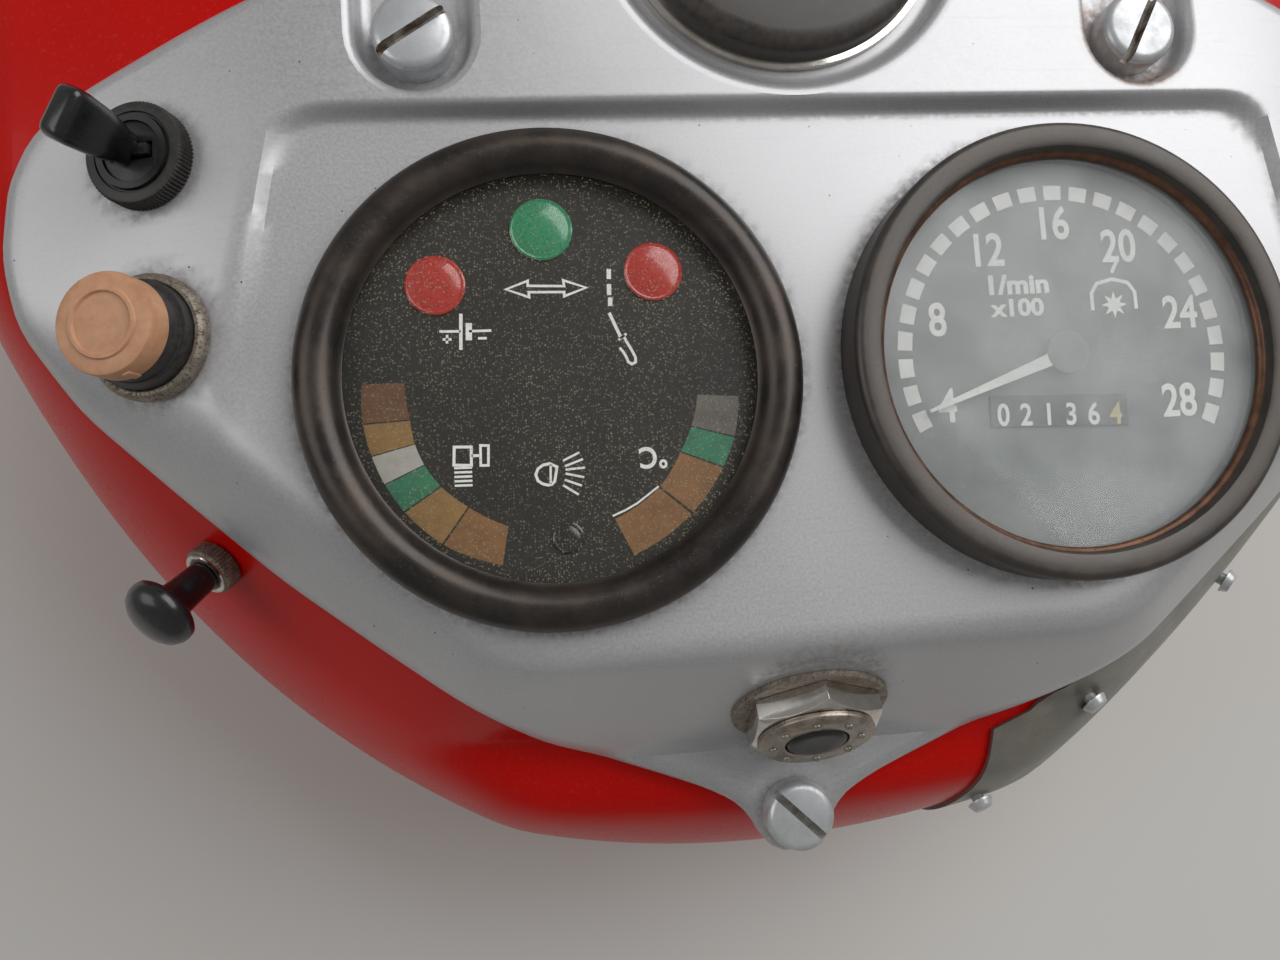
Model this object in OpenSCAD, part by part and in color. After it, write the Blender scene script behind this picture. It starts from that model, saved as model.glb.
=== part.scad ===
// Instrument console of a farm tractor: pressed silver cover on a red sheet-metal cowl.
// X runs to the right, Y forward and Z up. The origin is the centre of the four holes in
// the base frame. Y = 0 is also the line where the sunk gauge platform ends at the front.

/* [Cowl] */
// Height of the gauge platform above the base of the cowl
console_h = 200; // [185:1:240]
// Half width of the cowl
cowl_half_w = 214; // [206:1:225]
// Length of the cowl behind the step line
cowl_rear = 203; // [201:1:215]
// Length of the cowl in front of the step line
cowl_front = 143; // [138:1:160]
// Sheet thickness of the cowl
cowl_t = 2; // [1.5:0.1:2.5]
// Radius where the cowl's top turns into its side
shoulder_r = 26; // [18:1:30]
// Width of the base frame and of the frame round the open front
flange_w = 32; // [26:1:40]
// Bolt spacing of the base frame along X
bolt_dx = 298; // [280:1:300]
// Bolt spacing of the base frame along Y
bolt_dy = 248; // [240:1:252]
// Radius of the base frame's bolt holes
bolt_r = 4.5; // [3:0.5:5.5]

/* [Panel cover] */
// Sheet thickness of the panel cover
panel_t = 2; // [1.5:0.1:2.5]
// Height of the panel's turned-down lip
lip_h = 8; // [6:0.5:10]
// Height of the front band above the gauge platform
front_rise = 4; // [3:0.5:6]
// Slope of the side wings in degrees
wing_tilt = 14.7; // [10:0.1:18]
// Slope of the rear apron in degrees
apron_tilt = 58; // [54:1:60]
// Tilt of the apron's foot, where the cover lies out towards its rear screw
foot_tilt = 6; // [2:1:8]
// Tilt of the cowl where it falls away behind the cover
cowl_fall = 46; // [42:1:50]
// Distance from the step line back to the crease of the apron
crease_back = 129; // [126:1:134]
// Level of the rear screw's tab below the platform
tab_drop = 50; // [46:1:52]

/* [Gauges] */
// Radius of the gauge cases
case_r = 49.3; // [47:0.1:52]
// Depth of the gauge cases below the platform
case_depth = 62; // [50:1:75]
// Width of the left gauge's bezel outside its case
combi_bezel_w = 8.9; // [5:0.1:9.1]
// Height of the left gauge's bezel
combi_bezel_h = 9; // [7:0.5:12]
// Width of the right gauge's bezel outside its case
tacho_bezel_w = 5.7; // [5:0.1:8.7]
// Height of the right gauge's bezel
tacho_bezel_h = 11.5; // [8:0.5:13]
// How far each bezel reaches in over its glass
bezel_lap = 2.2; // [2:0.1:3.2]
// Space between the two bezels
bezel_space = 10.8; // [8:0.2:16]
// Space between the left bezel and the step in front of it
step_space = 3.8; // [2:0.2:6]
// Level of the right gauge's dial above the platform
tacho_dial_z = 3.2; // [1.4:0.2:3.4]

/* [Controls] */
// Distance of the switches on the wings from the middle
wing_switch_x = 152; // [148:1:158]
// Position of the key switch along Y
key_y = -6.5; // [-12:0.5:0]
// Position of the fuse holder along Y
fuse_y = -48; // [-52:1:-44]
// Radius of the key switch's ring nut
key_nut_r = 12; // [11:0.5:14]
// Radius of the fuse holder's cap
fuse_cap_r = 11.3; // [9:0.1:11.5]
// Position of the starter button along Y
starter_y = -146; // [-147:0.5:-145]
// Width of the starter's hex nut across its flats
starter_af = 32; // [28:1:34]
// Radius of the starter's push button
starter_button_r = 8; // [6:0.5:9]
// Travel of the push buttons
button_travel = 3; // [2:0.5:4]
// Radius of the pull knob's head
knob_head_r = 9.5; // [8:0.5:11]
// Travel of the pull knob
knob_travel = 25; // [15:1:30]

/* [Steering column] */
// Position of the steering column along Y
column_y = 52; // [50:1:55]
// Radius of the column cap
cap_r = 39; // [36:0.5:40]
// Radius of the bore for the steering shaft
shaft_r = 12.5; // [10:0.5:14]

/* [Screws] */
// Distance of the front screws from the middle
screw_x = 90; // [86:1:94]
// Position of the front screws along Y
screw_y = 20; // [18:1:22]
// Radius of the cover screws' heads
screw_head_r = 9.5; // [8:0.5:10]
// Height of the cover screws' heads
screw_head_h = 7.5; // [5:0.5:9]
// Radius of the cover screws' shanks
screw_r = 4; // [3:0.5:5]

/* [Hidden] */
$fn = 48;

// Clearance between curved faces of different pieces
gap = 0.3;
crease_y = -crease_back;
wing_slope = tan(wing_tilt);
apron_slope = tan(apron_tilt);
// Where the wing's plane crosses the platform's level
wing_zero_x = 141;
// The slope between apron and wing starts on a line through this point, at this angle
diag_x = 75;
diag_angle = 41.5;
diag_slope = 1.2;
blend_r = 12;
foot_blend_r = 2;
// Extra clearance, along Y, between the cowl and the apron's slopes
apron_clear = 4;
// Side line of the sunk platform: half width at the step line and its growth to the rear
platform_x = 120;
platform_skew = 0.236;
platform_corner = 12;
step_run = 4;
// Shadow gap under the lip, and how far the cowl's top lies under the panel's top
lip_gap = 1;
panel_lift = lip_h + lip_gap;
rim_r = 4.5;
tab_y = -179;
tab_r = 20;
pocket_r = 12.5;
pocket_floor = front_rise - lip_h + panel_t;
recess_r = 43;
bulge_r = 73;
column_sleeve = 10;
opening_inset = 10;
combi_bezel_r = case_r + combi_bezel_w;
tacho_bezel_r = case_r + tacho_bezel_w;
glass_view_r = case_r - bezel_lap;
gauge_x = (combi_bezel_r + tacho_bezel_r + bezel_space) / 2;
gauge_y = -combi_bezel_r - step_space;

// Half outline of the panel cover behind its round front: [y, half width]
panel_outline = [
  [-195, 3], [-191, 10], [-186, 14], [-179, 19], [-170, 33], [-154, 67], [-124, 107],
  [-105, 131], [-84, 153], [-62, 175], [-42, 187], [-24, 190], [-7, 188], [4, 182],
  [12, 172], [31, 127], [55, 67]
];

function smin(a, b, r) = let(h = max(r - abs(a - b), 0) / r) min(a, b) - h * h * r / 4;
function smax(a, b, r) = -smin(-a, -b, r);
function ease(t) = let(c = min(max(t, 0), 1)) c * c * (3 - 2 * c);
function lerp(a, b, t) = a + (b - a) * t;

// Crowned surface that both sheets follow, measured from the gauge platform
function crown(x, y) = let(
    ax = abs(x),
    wing = wing_slope * (wing_zero_x - ax),
    diag = -diag_slope * ((ax - diag_x) * sin(diag_angle) - (y - crease_y) * cos(diag_angle)),
    foot = tan(foot_tilt) * (y - tab_y) - tab_drop,
    apron = smax(apron_slope * (y - crease_y), foot, foot_blend_r)
  ) smin(smin(front_rise, wing, 6), smin(diag, apron, blend_r), blend_r);

// How far a point lies inside the sunk platform
function platform_in(x, y) =
  step_run + smin(-y, platform_x - platform_skew * y - abs(x), platform_corner);

// Top of the panel cover: the crown, the sunk platform and the level rear tab
function panel_top(x, y) = let(
    c = crown(x, y),
    sunk = c - ease(platform_in(x, y) / step_run) * smax(c, 0, 3),
    near_tab = ease((tab_r - norm([x, y - tab_y])) / 5)
  ) lerp(sunk, -tab_drop, near_tab);

// Top of the cowl before its lift: the crown, falling away behind the cover, with a dent
// under the rear tab
function cowl_top(x, y) = let(
    c = smin(crown(x, y - apron_clear), tan(cowl_fall) * (y - crease_y), 6),
    near_tab = ease((tab_r + 8 - norm([x, y - tab_y])) / 6)
  ) min(c, lerp(c, -tab_drop, near_tab));

// Half width of the panel cover at y
panel_rear = -195;
panel_front = column_y + bulge_r;
function panel_raw(y) = max(
    y > 55 + 1 ? 0 : lookup(y, panel_outline),
    abs(y - column_y) < bulge_r ? sqrt(bulge_r * bulge_r - pow(y - column_y, 2)) : 0);
function panel_half(y) =
  y < -178 ? panel_raw(y) : (panel_raw(y - 3) + panel_raw(y) + panel_raw(y + 3)) / 3;

// Half width of the cowl at y
function cowl_half(y, a, b) = y < 0 ? a * sqrt(max(0, 1 - y * y / (b * b))) : a;
function cowl_edge(x, y, a, b, front) = y < 0
  ? b * (1 - sqrt(x * x / (a * a) + y * y / (b * b)))
  : min(a - abs(x), (front - y) * shoulder_r / 5);
function round_off(d, r) = let(e = min(max(d, 0), r)) r - sqrt(r * r - (r - e) * (r - e));

// Fractions of the half width at which a sheet has its columns of points
half_columns = [0.13, 0.27, 0.41, 0.54, 0.66, 0.77, 0.86, 0.925, 0.965, 0.986, 0.996, 1];
columns = concat(
  [for (i = [len(half_columns) - 1 : -1 : 0]) -half_columns[i]], [0], half_columns);

// Pressed sheet as a closed shell: rows of points across it, outside, inside and at its foot.
// outer and inner give a point's [x, y, z] for a row and a column fraction; foot gives its z.
module pressed_shell(rows, outer, inner, foot) {
  nr = len(rows);
  nc = len(columns);
  top = [for (i = [0 : nr - 1]) for (u = columns) outer(rows[i], u)];
  under = [for (i = [0 : nr - 1]) for (u = columns) inner(rows[i], u)];
  loop = concat(
    [for (j = [0 : nc - 1]) j],
    [for (i = [1 : nr - 1]) i * nc + nc - 1],
    [for (j = [nc - 2 : -1 : 0]) (nr - 1) * nc + j],
    [for (i = [nr - 2 : -1 : 1]) i * nc]);
  nl = len(loop);
  foot_out = [for (k = loop) [top[k].x, top[k].y, foot(top[k].x, top[k].y)]];
  foot_in = [for (k = loop) [under[k].x, under[k].y, foot(under[k].x, under[k].y)]];
  n1 = nr * nc;
  n2 = 2 * n1;
  n3 = n2 + nl;
  polyhedron(
    points = concat(top, under, foot_out, foot_in),
    faces = concat(
      [for (i = [0 : nr - 2]) for (j = [0 : nc - 2]) let(a = i * nc + j)
        each [[a, a + nc, a + nc + 1], [a, a + nc + 1, a + 1]]],
      [for (i = [0 : nr - 2]) for (j = [0 : nc - 2]) let(a = n1 + i * nc + j)
        each [[a, a + 1, a + nc + 1], [a, a + nc + 1, a + nc]]],
      [for (k = [0 : nl - 1]) let(m = (k + 1) % nl)
        each [[loop[k], loop[m], n2 + m], [loop[k], n2 + m, n2 + k]]],
      [for (k = [0 : nl - 1]) let(m = (k + 1) % nl)
        each [[n1 + loop[k], n3 + k, n3 + m], [n1 + loop[k], n3 + m, n1 + loop[m]]]],
      [for (k = [0 : nl - 1]) let(m = (k + 1) % nl)
        each [[n2 + k, n2 + m, n3 + m], [n2 + k, n3 + m, n3 + k]]]),
    convexity = 8);
}

// Cowl-shaped shell, offset outwards from the cowl's own face by off
module cowl_shell(off, t, foot_z) {
  a = cowl_half_w + off;
  b = cowl_rear + off;
  front = cowl_front + off;
  rear_rows = [for (s = [90 : -7.5 : 0]) -sin(min(s, 89))];
  front_rows = [0.14, 0.3, 0.45, 0.6, 0.75, 0.88, 0.96, 1];
  rows = concat(rear_rows, front_rows);
  function place(v, u, in) = let(
      y = v < 0 ? v * (b - in) : v * (front - in),
      x = u * cowl_half(y, a - in, b - in),
      d = cowl_edge(x, y, a - in, b - in, front - in),
      z = cowl_top(x, y) - panel_lift + off - in
        - round_off(d, shoulder_r + off - in)
    ) [x, y, console_h + z];
  pressed_shell(rows, function(v, u) place(v, u, 0), function(v, u) place(v, u, t),
    function(x, y) foot_z);
}

// Plan outline of the cowl, grown by off
module cowl_plan(off) {
  a = cowl_half_w + off;
  b = cowl_rear + off;
  side = concat([for (s = [90 : -7.5 : 0]) let(e = min(s, 89)) [a * cos(e), -b * sin(e)]],
    [[a, cowl_front + off]]);
  polygon(concat(side, [for (i = [len(side) - 1 : -1 : 0]) [-side[i].x, side[i].y]]));
}

// Plan outline of the panel cover, grown by off
outline_rows = [-195, -191, -186, each [-179 : 6 : 109], 115, 120, 124];
module panel_plan(off) {
  grow = [for (y = outline_rows)
    let(s = (panel_half(y + 1) - panel_half(y - 1)) / 2)
    [max(1, panel_half(y) + off * sqrt(1 + min(s * s, 9))), y]];
  kept = [for (p = grow) if (p.y + off > panel_rear - 0.01 && p.y < panel_front + off) p];
  polygon(concat(kept, [for (i = [len(kept) - 1 : -1 : 0]) [-kept[i].x, kept[i].y]]));
}

// Frame on the left wing at y: Z stands square to the wing's face
module on_left_wing(y) {
  translate([-wing_switch_x, y, console_h + crown(wing_switch_x, y)])
    rotate([0, -wing_tilt, 0]) children();
}
module on_right_wing(y) {
  mirror([1, 0, 0]) on_left_wing(y) children();
}
// Frame on the apron at y: Z stands square to it
module on_apron(y) {
  translate([0, y, console_h + crown(0, y)]) rotate([apron_tilt, 0, 0]) children();
}
module on_gauge(side) {
  translate([side * gauge_x, gauge_y, console_h]) children();
}

// Pull knob: point on the cowl's rear left face, and the direction of its axis
knob_x = -152;
knob_y = -98.5;
knob_lean = 50;
knob_turn = -131.5;
knob_z = cowl_top(knob_x, knob_y) - panel_lift;
module on_knob() {
  translate([knob_x, knob_y, console_h + knob_z])
    rotate([0, 0, knob_turn]) rotate([0, knob_lean, 0]) children();
}

module cowl() {
  color("firebrick") difference() {
    union() {
      difference() {
        cowl_shell(0, cowl_t, 0);
        // Opening under the panel cover
        translate([0, 0, 60]) linear_extrude(console_h) difference() {
          panel_plan(-opening_inset);
          for (s = [-1, 1]) translate([s * screw_x, screw_y]) circle(16);
          translate([0, tab_y]) circle(14);
        }
        cowl_front_slab();
      }
      // Rear screw seat
      translate([0, tab_y, console_h - tab_drop - 24])
        cylinder(h = 24 - panel_t - 2 * gap, r = 7.5);
    }
    for (s = [-1, 1])
      translate([s * screw_x, screw_y, console_h - 20]) cylinder(h = 30, r = screw_r + gap);
    translate([0, tab_y, console_h - tab_drop - 60]) cylinder(h = 80, r = screw_r + gap);
    on_knob() translate([0, 0, -20]) cylinder(h = 30, r = 5.5);
    for (p = plate_screws) plate_screw_at(p) translate([0, 0, -10]) cylinder(h = 20, r = 2.3);
  }
}

// Slab that the end frame takes up
module cowl_front_slab() {
  translate([-cowl_half_w - 1, cowl_front - cowl_t, -1])
    cube([2 * cowl_half_w + 2, cowl_t + 1, console_h]);
}

// Flat frame welded to the front end of the cowl, round its open front
module cowl_front_frame() {
  color("firebrick") difference() {
    intersection() {
      cowl_shell(0, cowl_t, 0);
      cowl_front_slab();
    }
    translate([-cowl_half_w + flange_w, cowl_front - 12, flange_w])
      cube([2 * (cowl_half_w - flange_w), 24, console_h - 26 - 2 * flange_w]);
  }
}

// Flat frame welded in at the foot of the cowl
module cowl_base_frame() {
  color("firebrick") difference() {
    linear_extrude(cowl_t + 0.5) difference() {
      cowl_plan(-cowl_t - gap);
      cowl_plan(-flange_w);
    }
    for (sx = [-1, 1], sy = [-1, 1])
      translate([sx * bolt_dx / 2, sy * bolt_dy / 2, -1]) cylinder(h = 8, r = bolt_r);
  }
}

module panel_cover() {
  rows = [
    -195, -192, -188, -183, -178, each [-172 : 7 : -137], -131, -127, -123, -119,
    each [-108 : 12 : -24], -12, -1, 0.7, 2, 3.3, 5, each [14 : 9 : 50],
    56, 64, 76, 88, 98, 107, 114, 119, 122.5, panel_front - 0.8
  ];
  front = panel_front - 0.8;
  function place(y, u, in) = let(
      s = (panel_half(y + 1) - panel_half(y - 1)) / 2,
      stretch = sqrt(1 + min(s * s, 16)),
      w = max(1.5, panel_half(y) - in * stretch),
      yy = lerp(panel_rear + in, front - in, (y - panel_rear) / (front - panel_rear)),
      x = u * w,
      d = min((w - abs(x)) / stretch, front - in - yy, yy - panel_rear - in),
      z = panel_top(x, yy) - in - round_off(d, rim_r - in)
    ) [x, yy, console_h + z];
  color("silver") difference() {
    union() {
      difference() {
        pressed_shell(rows, function(v, u) place(v, u, 0),
          function(v, u) place(v, u, panel_t),
          function(x, y) console_h + panel_top(x, y) - lip_h);
        // Openings for the sunk ring round the column and for the front screws' pockets
        translate([0, column_y, console_h - 5]) cylinder(h = 20, r = recess_r + panel_t / 2);
        for (s = [-1, 1]) translate([s * screw_x, screw_y, console_h - 5])
          pocket(pocket_r + panel_t / 2, 20, 60);
      }
      translate([0, column_y, console_h - panel_t]) difference() {
        cylinder(h = front_rise + panel_t - 0.5, r = recess_r + panel_t);
        translate([0, 0, panel_t]) cylinder(h = 20, r = recess_r);
      }
      intersection() {
        translate([0, 0, console_h - 20]) linear_extrude(40) panel_plan(-0.6);
        for (s = [-1, 1]) translate([s * screw_x, screw_y, console_h]) difference() {
          translate([0, 0, pocket_floor - panel_t])
            pocket(pocket_r + panel_t, front_rise - pocket_floor + panel_t - 0.5, 60);
          translate([0, 0, pocket_floor]) pocket(pocket_r, 20, 70);
        }
      }
    }
    // Holes for gauges, screws, switches and the column
    for (s = [-1, 1]) on_gauge(s) translate([0, 0, -10]) cylinder(h = 20, r = case_r + 1);
    for (s = [-1, 1]) translate([s * screw_x, screw_y, console_h - 10])
      cylinder(h = 20, r = screw_r + gap);
    translate([0, tab_y, console_h - tab_drop - 10]) cylinder(h = 20, r = screw_r + gap);
    translate([0, column_y, console_h - 10]) cylinder(h = 20, r = 24);
    for (y = [key_y, fuse_y]) {
      on_left_wing(y) translate([0, 0, -10]) cylinder(h = 20, r = 9);
      on_right_wing(y) translate([0, 0, -10]) cylinder(h = 20, r = 9);
    }
    on_apron(starter_y) translate([0, 0, -10]) cylinder(h = 20, r = 12);
  }
}

// Slot with a round rear end that runs forward to run
module pocket(r, h, run) {
  linear_extrude(h) polygon([
    each [for (a = [180 : 15 : 360]) [r * cos(a), r * sin(a)]], [r, run], [-r, run]
  ]);
}

module slotted_screw(shank) {
  difference() {
    union() {
      cylinder(h = screw_head_h - 1, r = screw_head_r);
      translate([0, 0, screw_head_h - 1])
        cylinder(h = 1, r1 = screw_head_r, r2 = screw_head_r - 1);
      translate([0, 0, -shank]) cylinder(h = shank, r = screw_r);
    }
    translate([-screw_head_r - 1, -1.1, screw_head_h - 3])
      cube([2 * screw_head_r + 2, 2.2, 4]);
  }
}

module panel_screws() {
  color("gainsboro") {
    translate([-screw_x, screw_y, console_h + pocket_floor]) rotate(33) slotted_screw(16);
    translate([screw_x, screw_y, console_h + pocket_floor]) rotate(62) slotted_screw(16);
    translate([0, tab_y, console_h - tab_drop + 0.1]) rotate(-45) slotted_screw(20);
  }
}

// Cover plate over the rear right part of the cowl
plate_t = 1.6;
plate_foot = 70;
plate_front = -62;
module side_plate() {
  color("dimgray") intersection() {
    difference() {
      cowl_shell(gap + plate_t, plate_t, plate_foot);
      translate([0, 0, 60]) linear_extrude(console_h) panel_plan(7);
      for (p = plate_screws) plate_screw_at(p) translate([0, 0, -10]) cylinder(h = 20, r = 2.3);
    }
    translate([0, 0, plate_foot]) linear_extrude(console_h)
      polygon([[66, -150], [54, -215], [240, -215], [240, plate_front], [150, plate_front]]);
  }
}
// Screws of the side plate: [angle round the cowl, distance from its edge]
plate_screws = [[-71.5, 6], [-60, 24], [-40, 10]];
module plate_screw_at(p) {
  r = 1 - p[1] / cowl_rear;
  x = cowl_half_w * r * cos(p[0]);
  y = cowl_rear * r * sin(p[0]);
  z = cowl_top(x, y) - panel_lift - round_off(p[1], shoulder_r);
  translate([x, y, console_h + z]) rotate([0, 0, p[0]]) rotate([0, 58, 0])
    translate([0, 0, gap + plate_t]) children();
}
module side_plate_screws() {
  color("gainsboro") for (p = plate_screws) plate_screw_at(p) {
    translate([0, 0, 1]) cylinder(h = 2.6, r1 = 4.2, r2 = 3);
    translate([0, 0, -5]) cylinder(h = 6, r = 2);
  }
}

// Gauge parts, standing on the platform with z = 0 at its face
glass_t = 1.8;
glass_sunk = 4.2;
combi_dial_z = 1.4;
dial_t = 1;
module gauge_case(dial_z) {
  translate([0, 0, -case_depth]) {
    cylinder(h = case_depth + dial_z - dial_t, r = case_r);
    translate([0, 0, -3]) cylinder(h = 3, r = case_r - 4);
    for (s = [-1, 1]) translate([s * 26, 0, -14]) cylinder(h = 14, r = 2);
  }
}
// Bezel with a rolled edge of the given radius; its inner slope starts at crest
module gauge_bezel(r, h, edge, crest, dial_z) {
  seat = h - glass_sunk;
  rotate_extrude($fn = 96) polygon(concat(
    [[case_r + gap, 0], [r, 0], [r, h - edge]],
    [for (k = [0 : 15 : 90]) [r - edge + edge * cos(k), h - edge + edge * sin(k)]],
    [[crest, h - 0.5], [glass_view_r + 0.8, seat + 1.2], [glass_view_r, seat + gap],
     [case_r - 0.2, seat + gap], [case_r - 0.2, seat - glass_t - 0.1],
     [glass_view_r + 0.5, seat - glass_t - 0.1], [glass_view_r + 0.5, dial_z + 0.1],
     [case_r + gap, dial_z + 0.1]]));
}
module gauge_dial(dial_z) {
  translate([0, 0, dial_z - dial_t]) cylinder(h = dial_t, r = glass_view_r + 1.5, $fn = 96);
}
module gauge_glass(h) {
  translate([0, 0, h - glass_sunk - glass_t]) cylinder(h = glass_t, r = case_r - 0.5, $fn = 96);
}
module gauge_bracket() {
  leg = case_r + 2.2;
  depth = case_depth + 6.5;
  for (s = [-1, 1]) {
    translate([-8, s * leg - 0.8, -depth]) cube([16, 1.6, depth - panel_t - gap]);
    translate([-8, s < 0 ? -leg - 5 : leg - 0.8, -panel_t - gap - 1.6]) cube([16, 5.8, 1.6]);
  }
  difference() {
    union() {
      translate([-8, -leg, -depth - 1.6]) cube([16, 2 * leg, 1.6]);
      translate([-34, -8, -depth - 1.6]) cube([68, 16, 1.6]);
    }
    for (s = [-1, 1]) translate([s * 26, 0, -depth - 5]) cylinder(h = 10, r = 2.3);
  }
}

module combi_case() { color("dimgray") on_gauge(-1) gauge_case(combi_dial_z); }
module tacho_case() { color("dimgray") on_gauge(1) gauge_case(tacho_dial_z); }
module combi_bezel() {
  color("#3a332e") on_gauge(-1)
    gauge_bezel(combi_bezel_r, combi_bezel_h, 4.5, combi_bezel_r - 5.6, combi_dial_z);
}
module tacho_bezel() {
  color("#3a332e") on_gauge(1)
    gauge_bezel(tacho_bezel_r, tacho_bezel_h, 2, glass_view_r + 1.4, tacho_dial_z);
}
module combi_glass() { color([0.8, 0.85, 0.85, 0.3]) on_gauge(-1) gauge_glass(combi_bezel_h); }
module tacho_glass() { color([0.8, 0.85, 0.85, 0.3]) on_gauge(1) gauge_glass(tacho_bezel_h); }
module combi_dial() { color("#1c1c1c") on_gauge(-1) gauge_dial(combi_dial_z); }
module tacho_dial() { color("#8a8f8c") on_gauge(1) gauge_dial(tacho_dial_z); }

// Warning lamp lenses on the left gauge's dial, which sits slightly turned: [x, y, radius]
combi_turn = 1.7;
module lenses(places) {
  on_gauge(-1) rotate(combi_turn) for (p = places) translate([p.x, p.y, combi_dial_z])
    cylinder(h = 0.9, r = p[2]);
}
module combi_lens_green() { color("seagreen") lenses([[0, 35, 7.3]]); }
module combi_lens_red() { color("crimson") lenses([for (s = [-1, 1]) [s * 25.3, 23.4, 6.9]]); }
module combi_lens_blue() { color("midnightblue") lenses([[0, -37, 3.6]]); }
module tacho_counter() {
  color("#2a2c2b") on_gauge(1) rotate(-2) translate([-19.8, -17.8, tacho_dial_z])
    cube([35, 7.6, 0.5]);
}
// Needle at rest, measured from +X
needle_turn = 199.5;
module tacho_needle() {
  color("white") on_gauge(1) translate([0, 0, tacho_dial_z + 0.9]) {
    cylinder(h = 1.1, r = 4.2);
    translate([0, 0, -0.9]) cylinder(h = 1, r = 1);
    rotate(needle_turn) translate([0, 0, 0.3]) linear_extrude(0.7)
      polygon([[0, 1.7], [38, 0.4], [38, -0.4], [0, -1.7]]);
  }
}
module combi_bracket() { color("darkgray") on_gauge(-1) gauge_bracket(); }
module tacho_bracket() { color("darkgray") on_gauge(1) gauge_bracket(); }
module bracket_nuts() {
  color("gainsboro") for (g = [-1, 1], s = [-1, 1])
    on_gauge(g) translate([s * 26, 0, -case_depth - 6.5 - 1.6 - 4.5]) difference() {
      cylinder(h = 4.5, r = 5, $fn = 6);
      translate([0, 0, -1]) cylinder(h = 7, r = 2.05);
    }
}
// Flat plug terminals on the backs of the gauges: [gauge, x, y]
terminals = [
  for (x = [-22, -15, 15, 22]) [-1, x, 24], [-1, -15, -18], [-1, 15, -18],
  for (x = [-15, 15, 22]) [1, x, 24]
];
module gauge_terminals() {
  color("goldenrod") for (t = terminals)
    on_gauge(t[0]) translate([t[1] - 0.4, t[2] - 3.2, -case_depth - 3 - 9]) cube([0.8, 6.3, 9]);
}

// Controls on the left wing
module key_switch_body() {
  color("#222222") on_left_wing(key_y) {
    difference() {
      translate([0, 0, -12]) cylinder(h = 17.5, r = 8.6);
      translate([0, 0, -4.2]) cylinder(h = 20, r = 7.05);
    }
    translate([0, 0, -40]) cylinder(h = 40 - panel_t - 2.2, r = 13.5);
    for (a = [0 : 90 : 270]) rotate(a) translate([8, -3.1, -48]) cube([0.8, 6.3, 8]);
  }
}
module key_switch_nut() {
  color("#1d1d1d") on_left_wing(key_y) difference() {
    union() {
      cylinder(h = 4, r = key_nut_r);
      translate([0, 0, 4]) cylinder(h = 1, r1 = key_nut_r, r2 = key_nut_r - 1);
    }
    translate([0, 0, -1]) cylinder(h = 8, r = 8.6 + gap / 2);
  }
}
module key_barrel() {
  color("#2a2a2a") on_left_wing(key_y) difference() {
    translate([0, 0, -4.1]) cylinder(h = 9.1, r = 7);
    translate([-5, -1.9, -2]) cube([10, 3.8, 8]);
  }
}
// The key's handle leans away from the switch's axis
key_lean = 8;
key_turn = 150;
key_h = 28;
module ignition_key() {
  color("#161616") on_left_wing(key_y) {
    translate([-4.4, -1.3, -1.9]) cube([8.8, 2.6, 8]);
    rotate(key_turn) rotate([0, key_lean, 0]) hull() {
      translate([0, 0, 5.6]) cylinder(h = 2, r = 3.2);
      translate([0, 0, 13]) scale([0.75, 1, 1]) cylinder(h = 8, r = 6.2);
      translate([0, 0, key_h - 4]) scale([0.7, 1, 0.6]) sphere(r = 6.4);
    }
  }
}
fuse_bush_r = 12.3;
fuse_cap_z = 10;
module fuse_ring() {
  color("#8a7a6a") on_left_wing(fuse_y) difference() {
    cylinder(h = 3, r1 = fuse_bush_r + 2.3, r2 = fuse_bush_r + 1.7);
    translate([0, 0, -1]) cylinder(h = 6, r = fuse_bush_r + gap);
  }
}
module fuse_holder() {
  color("#202020") on_left_wing(fuse_y) {
    difference() {
      union() {
        translate([0, 0, 0.2]) cylinder(h = 5.4, r = fuse_bush_r);
        translate([0, 0, 0.2]) cylinder(h = fuse_cap_z - 0.2, r = fuse_bush_r - 1.3);
        translate([0, 0, -30]) cylinder(h = 31, r = 8.7);
      }
      translate([0, 0, fuse_cap_z - 5]) cylinder(h = 10, r = 8);
    }
    for (s = [-1, 1]) translate([s * 5 - 0.4, -3.1, -38]) cube([0.8, 6.3, 8]);
  }
}
module fuse_cap() {
  color("#c89468") on_left_wing(fuse_y) {
    translate([0, 0, fuse_cap_z + 0.1]) cylinder(h = 5.4, r = fuse_cap_r);
    translate([0, 0, fuse_cap_z + 5.5]) cylinder(h = 0.6, r1 = fuse_cap_r, r2 = fuse_cap_r - 0.6);
    translate([0, 0, fuse_cap_z + 6.1]) rotate_extrude() translate([6.9, 0]) square([0.8, 0.4]);
    translate([0, 0, fuse_cap_z - 4.9]) cylinder(h = 5.2, r = 7.7);
  }
}

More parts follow.
